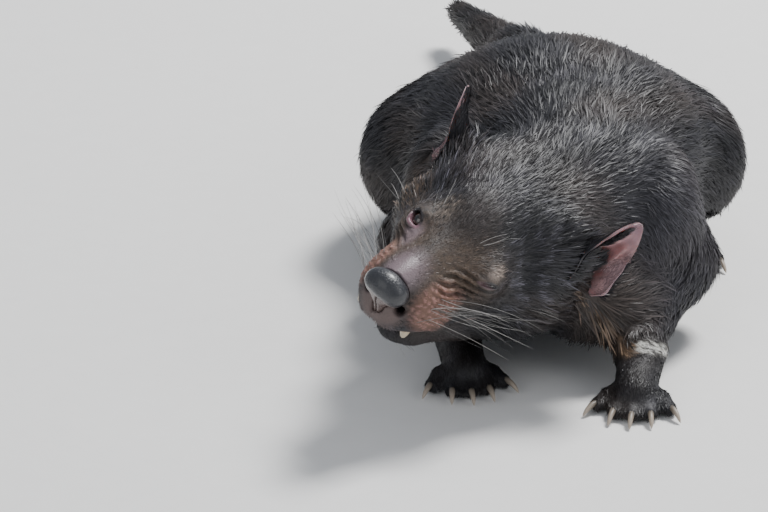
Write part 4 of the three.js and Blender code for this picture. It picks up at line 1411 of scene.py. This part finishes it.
class DEVIL_OT_ears(bpy.types.Operator):
    """Build both ears and their short fur"""

    bl_idname = "devil.ears"
    bl_label = "Ears"

    def execute(self, context):
        face = context.scene.devil_face
        black = np.array(context.scene.devil_coat.black)
        pink = np.array(face.pink)
        thin_skin = painted(
            "ear skin", scale=700, amount=0.35, strength=0.25, distance=0.0004,
            Roughness=0.45, Subsurface_Weight=0.1)
        hair = painted(
            "ear hair", scale=700, amount=0.25, strength=0.1, distance=0.0002,
            Roughness=0.5)
        rows, columns = EAR_GRID
        for name, side in SIDES:
            outer, height, turn = ear_sheet(rows, columns, 0)
            inner, _, _ = ear_sheet(rows, columns, 1)
            mirror = (1, side, 1)
            corners = np.concatenate([outer, inner]) * mirror
            layer = rows * columns
            faces = np.concatenate([
                grid_faces(rows, columns)[:, ::-1],
                grid_faces(rows, columns) + layer,
                rim_faces(rows, columns),
            ])
            if side < 0:
                faces = faces[:, ::-1]
            piece = new_mesh(f"ear_shell_{name}", from_head(corners), faces)
            tone = np.concatenate([
                faded(black * 1.5, pink * (0.7, 1.0, 1.1), ear_edge(height, turn)),
                self.inner_tones(pink, inner, height, turn),
            ])
            paint(piece.data, "Tone", tone)
            finish_piece(piece, thin_skin, "ear_skin", f"ear_{name}")
            self.grow_fur(name, side, outer, inner, hair, black)
        return {"FINISHED"}

    def inner_tones(self, pink, corners, height, turn):
        """Mauve above, with brown painted shade in the cup and in a hollow beside the fold,
        painted highlight on the folds, and pale on the lobe.
        """
        tone = pink * (0.6, 0.74, 0.8) * (1 + 0.25 * ripple(corners, 8, 41))[:, None]
        low = 1 - smooth_step(0.42, 0.58, height)
        cup = low * (1 - smooth_step(0.5, 0.85, np.abs(turn - 0.1)))
        hollow_shade = np.exp(-((turn - 0.38) / 0.16) ** 2 - ((height - 0.6) / 0.08) ** 2)
        downy = smooth_step(0.62, 0.8, turn) * (1 - smooth_step(0.3, 0.5, np.abs(height - 0.4) * 2))
        start, end = front_fur(height)
        furred = smooth_step(-0.15, 0.05, turn - start) * (1 - smooth_step(-0.2, 0.1, turn - end))
        ridge, second, lobe = ear_folds(height, turn)
        # Painted shade in the cup and in the hollow beside the fold.
        return layered(
            tone,
            (pink * (0.5, 0.62, 0.75), smooth_step(0.6, 0.95, height)),
            (pink * (0.14, 0.09, 0.08), 0.95 * cup),
            (pink * (0.3, 0.2, 0.18), 0.8 * hollow_shade),
            (pink * (0.33, 0.42, 0.42), 0.7 * downy),
            (pink * (0.05, 0.09, 0.11), furred * (1 - smooth_step(0.84, 0.92, height))),
            # Painted highlight along the folds.
            (pink * (0.95, 1.2, 1.2), 0.85 * np.clip(ridge + 0.7 * second, 0, 1)),
            (pink * (1.1, 1.5, 1.5), lobe),
            (pink * (0.7, 1.0, 1.1), 0.7 * ear_edge(height, turn)),
        )

    def grow_fur(self, name, side, outer, inner, hair, black):
        """Short fur over the back of the ear. Inside it, longer hair along its front edge and in its
        cup, and down toward its back edge."""
        draw = np.random.default_rng(43)
        back, front, cup, down = 4000, 2200, 500, 900
        # How high up the ear each hair is rooted, and how far across, both from 0 to 1.
        t = [draw.uniform(0.02, 0.97, back), draw.uniform(0.15, 0.84, front)]
        t += [draw.uniform(0.12, 0.36, cup), np.clip(draw.normal(0.36, 0.13, down), 0.04, 0.9)]
        start, end = front_fur(t[1])
        along_front = start + (end - start) * draw.uniform(0, 1, front)
        k = [draw.uniform(0.01, 0.99, back), np.clip((along_front + 1) / 2, 0.01, 0.99)]
        k += [draw.uniform(0.34, 0.7, cup), np.clip(0.985 - np.abs(draw.normal(0, 0.11, down)), 0.5, 1)]
        t, k = np.concatenate(t), np.concatenate(k)
        is_inside = np.arange(len(t)) >= back
        is_down = np.arange(len(t)) >= back + front + cup
        rows, columns = EAR_GRID
        i, j = (t * (rows - 1)).astype(int), (k * (columns - 1)).astype(int)
        sheets = np.stack([outer, inner]).reshape(2, rows, columns, 3)
        layer = is_inside.astype(int)
        here, above, beside = sheets[layer, i, j], sheets[layer, i + 1, j], sheets[layer, i, j + 1]
        roots = here + (above - here) * (t * (rows - 1) - i)[:, None]
        roots = roots + (beside - here) * (k * (columns - 1) - j)[:, None]
        up, across = unit(above - here), unit(beside - here)
        normals = unit(np.cross(up, across)) * np.where(is_inside, -1, 1)[:, None]
        ways = up + across * np.where(is_inside, 0.55, 0)[:, None]
        mirror = np.array((1, side, 1))
        roots = from_head(roots * mirror)
        ways, normals = (ways * mirror) @ HEAD_AXES, (normals * mirror) @ HEAD_AXES
        lengths = np.where(is_inside, 9 - 4.5 * t, 9 - 5.5 * t) * np.exp(draw.normal(0, 0.2, len(t)))
        lengths = np.where(is_down, lengths * 0.4, lengths)
        rises = lengths * np.where(is_inside, 0.2, 0.16)
        corners = blades(roots, normals, ways, lengths, tuft_width(lengths), rises, 44)
        tone = black * 1.3 * np.exp(draw.normal(0, 0.3, len(t)))[:, None]
        tone = np.where(is_down[:, None], tone * (13, 8.5, 7.5), tone)
        # Painted shade at the root; the paler tip is the hair's own.
        root_shade_to_tip = np.array([0.6, 0.6, 0.9, 0.9, 1.1, 1.1, 1.3])
        flat = 0.005 + 0.99 * np.stack([np.where(is_inside, 0.66 + 0.34 * k, 0.64 * k), t], axis=1)
        piece = tuft_mesh(f"coat_ear_{name}", corners, tone[:, None, :] * root_shade_to_tip[None, :, None], flat)
        finish_piece(piece, hair, "coat")


EAR_GRID = (40, 37)


def ear_edge(height, across):
    """One on the bare rim: the tip, the back edge and the upper end of the front edge."""
    front = smooth_step(-0.5, -0.8, across) * smooth_step(0.74, 0.86, height)
    return np.clip(front + smooth_step(0.86, 1.0, across) + smooth_step(0.93, 1.0, height), 0, 1)


def front_fur(height):
    """Where the dark hair inside the front of the ear starts and ends across it, which leaves the
    upper end of the front edge bare."""
    return -1.15 + 2.2 * np.maximum(0, height - 0.5), -0.32 + 0.4 * (height - 0.15)


def ear_folds(height, across):
    """Two folds inside the cup, and the lobe low on its back edge."""
    ridge = np.exp(-((across - 0.58) / 0.11) ** 2) * np.exp(-((height - 0.5) / 0.16) ** 2)
    second = np.exp(-((across + 0.5 - 0.8 * height) / 0.12) ** 2)
    second *= np.exp(-((height - 0.6) / 0.17) ** 2)
    lobe = np.exp(-((height - 0.14) / 0.1) ** 2) * smooth_step(0.45, 0.8, across)
    return ridge, second, lobe


def ear_sheet(rows, columns, inset):
    """Corners of one face of the left ear's rolled sheet in the head's frame, with the share of the
    height of each and how far round the roll it is, from -1 at its front edge to 1 at its back."""
    height, across = np.meshgrid(np.linspace(0, 1, rows), np.linspace(-1, 1, columns), indexing="ij")
    rounding = np.sqrt(1 - 0.97 * (np.clip(height - 0.3, 0, 1) / 0.7) ** 2.2)
    half_width = EAR_WIDTH / 2 * rounding * (0.68 + 0.32 * np.minimum(1, height / 0.4))
    half_turn = 1.9 + (0.75 - 1.9) * np.minimum(1, height * 1.3)
    radius = half_width / np.sin(np.minimum(half_turn, math.pi / 2))
    edge = np.clip(np.maximum(np.abs(across), height), 0, 1)
    thickness = EAR_THICKNESS * (1 - 0.55 * edge ** 3)
    turn = across * half_turn * (1 - 0.3 * np.maximum(across, 0) * height ** 2)
    r = radius - inset * thickness
    ridge, second, lobe = ear_folds(height, across)
    if inset:
        r = r - 2.6 * ridge - 2.0 * second - 1.5 * lobe
    lean = 5 * np.sin(math.pi * height)
    x = -np.cos(turn) * r + radius * np.cos(np.minimum(half_turn, 1.2)) + lean
    y = np.sin(turn) * r
    x = x + 4.5 * lobe
    z = -12 + (EAR_HEIGHT + 12) * height
    up = unit(spot(-0.2, 0.32, 0.93))
    ahead = spot(0.45, 0.89, 0)
    ahead = unit(ahead - up * (ahead @ up))
    back = np.cross(up, ahead)
    place = spot(EAR_FORWARD, EAR_ASIDE, 2)
    corners = place + x[..., None] * ahead + y[..., None] * back + z[..., None] * up
    return corners.reshape(-1, 3), height.ravel(), across.ravel()


def rim_faces(rows, columns):
    """Faces that close a sheet's two layers along its sides, root and tip."""
    layer = rows * columns
    left = np.arange(rows - 1) * columns
    right = left + columns - 1
    low = np.arange(columns - 1)
    high = low + (rows - 1) * columns
    return np.concatenate([
        np.stack([left, left + layer, left + layer + columns, left + columns], axis=1)[:, ::-1],
        np.stack([right, right + columns, right + layer + columns, right + layer], axis=1)[:, ::-1],
        np.stack([low, low + 1, low + 1 + layer, low + layer], axis=1)[:, ::-1],
        np.stack([high, high + layer, high + 1 + layer, high + 1], axis=1)[:, ::-1],
    ])


class DEVIL_OT_stage(bpy.types.Operator):
    """Build the floor, the lights and the camera"""

    bl_idname = "devil.stage"
    bl_label = "Stage"

    def execute(self, context):
        stage = context.scene.devil_stage
        add_floor(stage)
        add_lights(stage)
        add_camera(stage)
        return {"FINISHED"}


def add_floor(stage):
    half = 6
    mesh = bpy.data.meshes.new("floor")
    corners = [(x * half, y * half, 0) for x, y in ((-1, -1), (1, -1), (1, 1), (-1, 1))]
    mesh.from_pydata(corners, [], [(0, 1, 2, 3)])
    floor = link("floor", mesh)
    material, tree, shader = new_material("studio floor", Roughness=0.85)
    made = grain(tree, stage.floor, 60, 0.05)
    tree.links.new(made.outputs["Color"], shader.inputs["Base Color"])
    floor.data.materials.append(material)


# Each light's name, place, size and share of the main light's power.
LIGHTS = (
    ("key", (1.1, 0.9, 2.6), 0.8, 1),
    ("fill", (-1.8, -2.0, 1.6), 2.0, 0.12),
    ("side", (2.2, -1.6, 1.4), 1.6, 0.12),
)
LIT_POINT = Vector((0, 0, 0.08))


def add_lights(stage):
    for name, place, size, share in LIGHTS:
        light = bpy.data.lights.new(name, "AREA")
        light.energy = stage.key_power * share
        light.size = size
        lamp = bpy.data.objects.new(name, light)
        lamp.location = place
        lamp.rotation_euler = (LIT_POINT - lamp.location).to_track_quat("-Z", "Y").to_euler()
        bpy.context.scene.collection.objects.link(lamp)
    world = bpy.data.worlds.new("studio")
    world.use_nodes = True
    background = world.node_tree.nodes["Background"]
    background.inputs["Color"].default_value = (0.84, 0.9, 1, 1)
    background.inputs["Strength"].default_value = 0.44
    bpy.context.scene.world = world


# The photo looks level along the body and down on it, from far off with a long lens.
CAMERA_TARGET = spot(-115, 150, 41.5)
CAMERA_DOWN = math.radians(25)
LENS_PER_METRE = 246 / 3.5


def add_camera(stage):
    """The lens grows with the distance, so that the figure keeps its size in the picture."""
    target = Vector(CAMERA_TARGET * MM + SHIFT)
    camera = bpy.data.cameras.new("camera")
    camera.lens = LENS_PER_METRE * stage.distance
    camera.clip_end = 50
    eye = bpy.data.objects.new("camera", camera)
    back = Vector((0, -math.cos(CAMERA_DOWN), math.sin(CAMERA_DOWN)))
    eye.location = target + back * stage.distance
    eye.rotation_euler = (-back).to_track_quat("-Z", "Y").to_euler()
    bpy.context.scene.collection.objects.link(eye)
    bpy.context.scene.camera = eye


class DEVIL_PT_panel(bpy.types.Panel):
    """Builds the figure step by step"""

    bl_idname = "DEVIL_PT_panel"
    bl_label = "Devil Figure"
    bl_space_type = "VIEW_3D"
    bl_region_type = "UI"
    bl_category = "Devil"

    def draw(self, context):
        for operator in OPERATORS:
            self.layout.operator(operator.bl_idname)
        for group in (context.scene.devil_coat, context.scene.devil_face, context.scene.devil_stage):
            for key in group.bl_rna.properties.keys():
                if key not in {"rna_type", "name"}:
                    self.layout.prop(group, key)


OPERATORS = (
    DEVIL_OT_stage,
    DEVIL_OT_skin,
    DEVIL_OT_coat,
    DEVIL_OT_nose,
    DEVIL_OT_eyes,
    DEVIL_OT_ears,
    DEVIL_OT_mouth,
    DEVIL_OT_claws,
    DEVIL_OT_whiskers,
)
SETTINGS = (
    ("devil_coat", DevilCoatSettings),
    ("devil_face", DevilFaceSettings),
    ("devil_stage", DevilStageSettings),
)


def register():
    for name, group in SETTINGS:
        bpy.utils.register_class(group)
        setattr(bpy.types.Scene, name, PointerProperty(type=group))
    for operator in OPERATORS:
        bpy.utils.register_class(operator)
    bpy.utils.register_class(DEVIL_PT_panel)


def unregister():
    bpy.utils.unregister_class(DEVIL_PT_panel)
    for operator in reversed(OPERATORS):
        bpy.utils.unregister_class(operator)
    for name, group in reversed(SETTINGS):
        delattr(bpy.types.Scene, name)
        bpy.utils.unregister_class(group)


def main():
    register()
    bpy.ops.devil.stage()
    bpy.ops.devil.skin()
    bpy.ops.devil.coat()
    bpy.ops.devil.nose()
    bpy.ops.devil.eyes()
    bpy.ops.devil.ears()
    bpy.ops.devil.mouth()
    bpy.ops.devil.claws()
    bpy.ops.devil.whiskers()


if __name__ == "__main__":
    main()
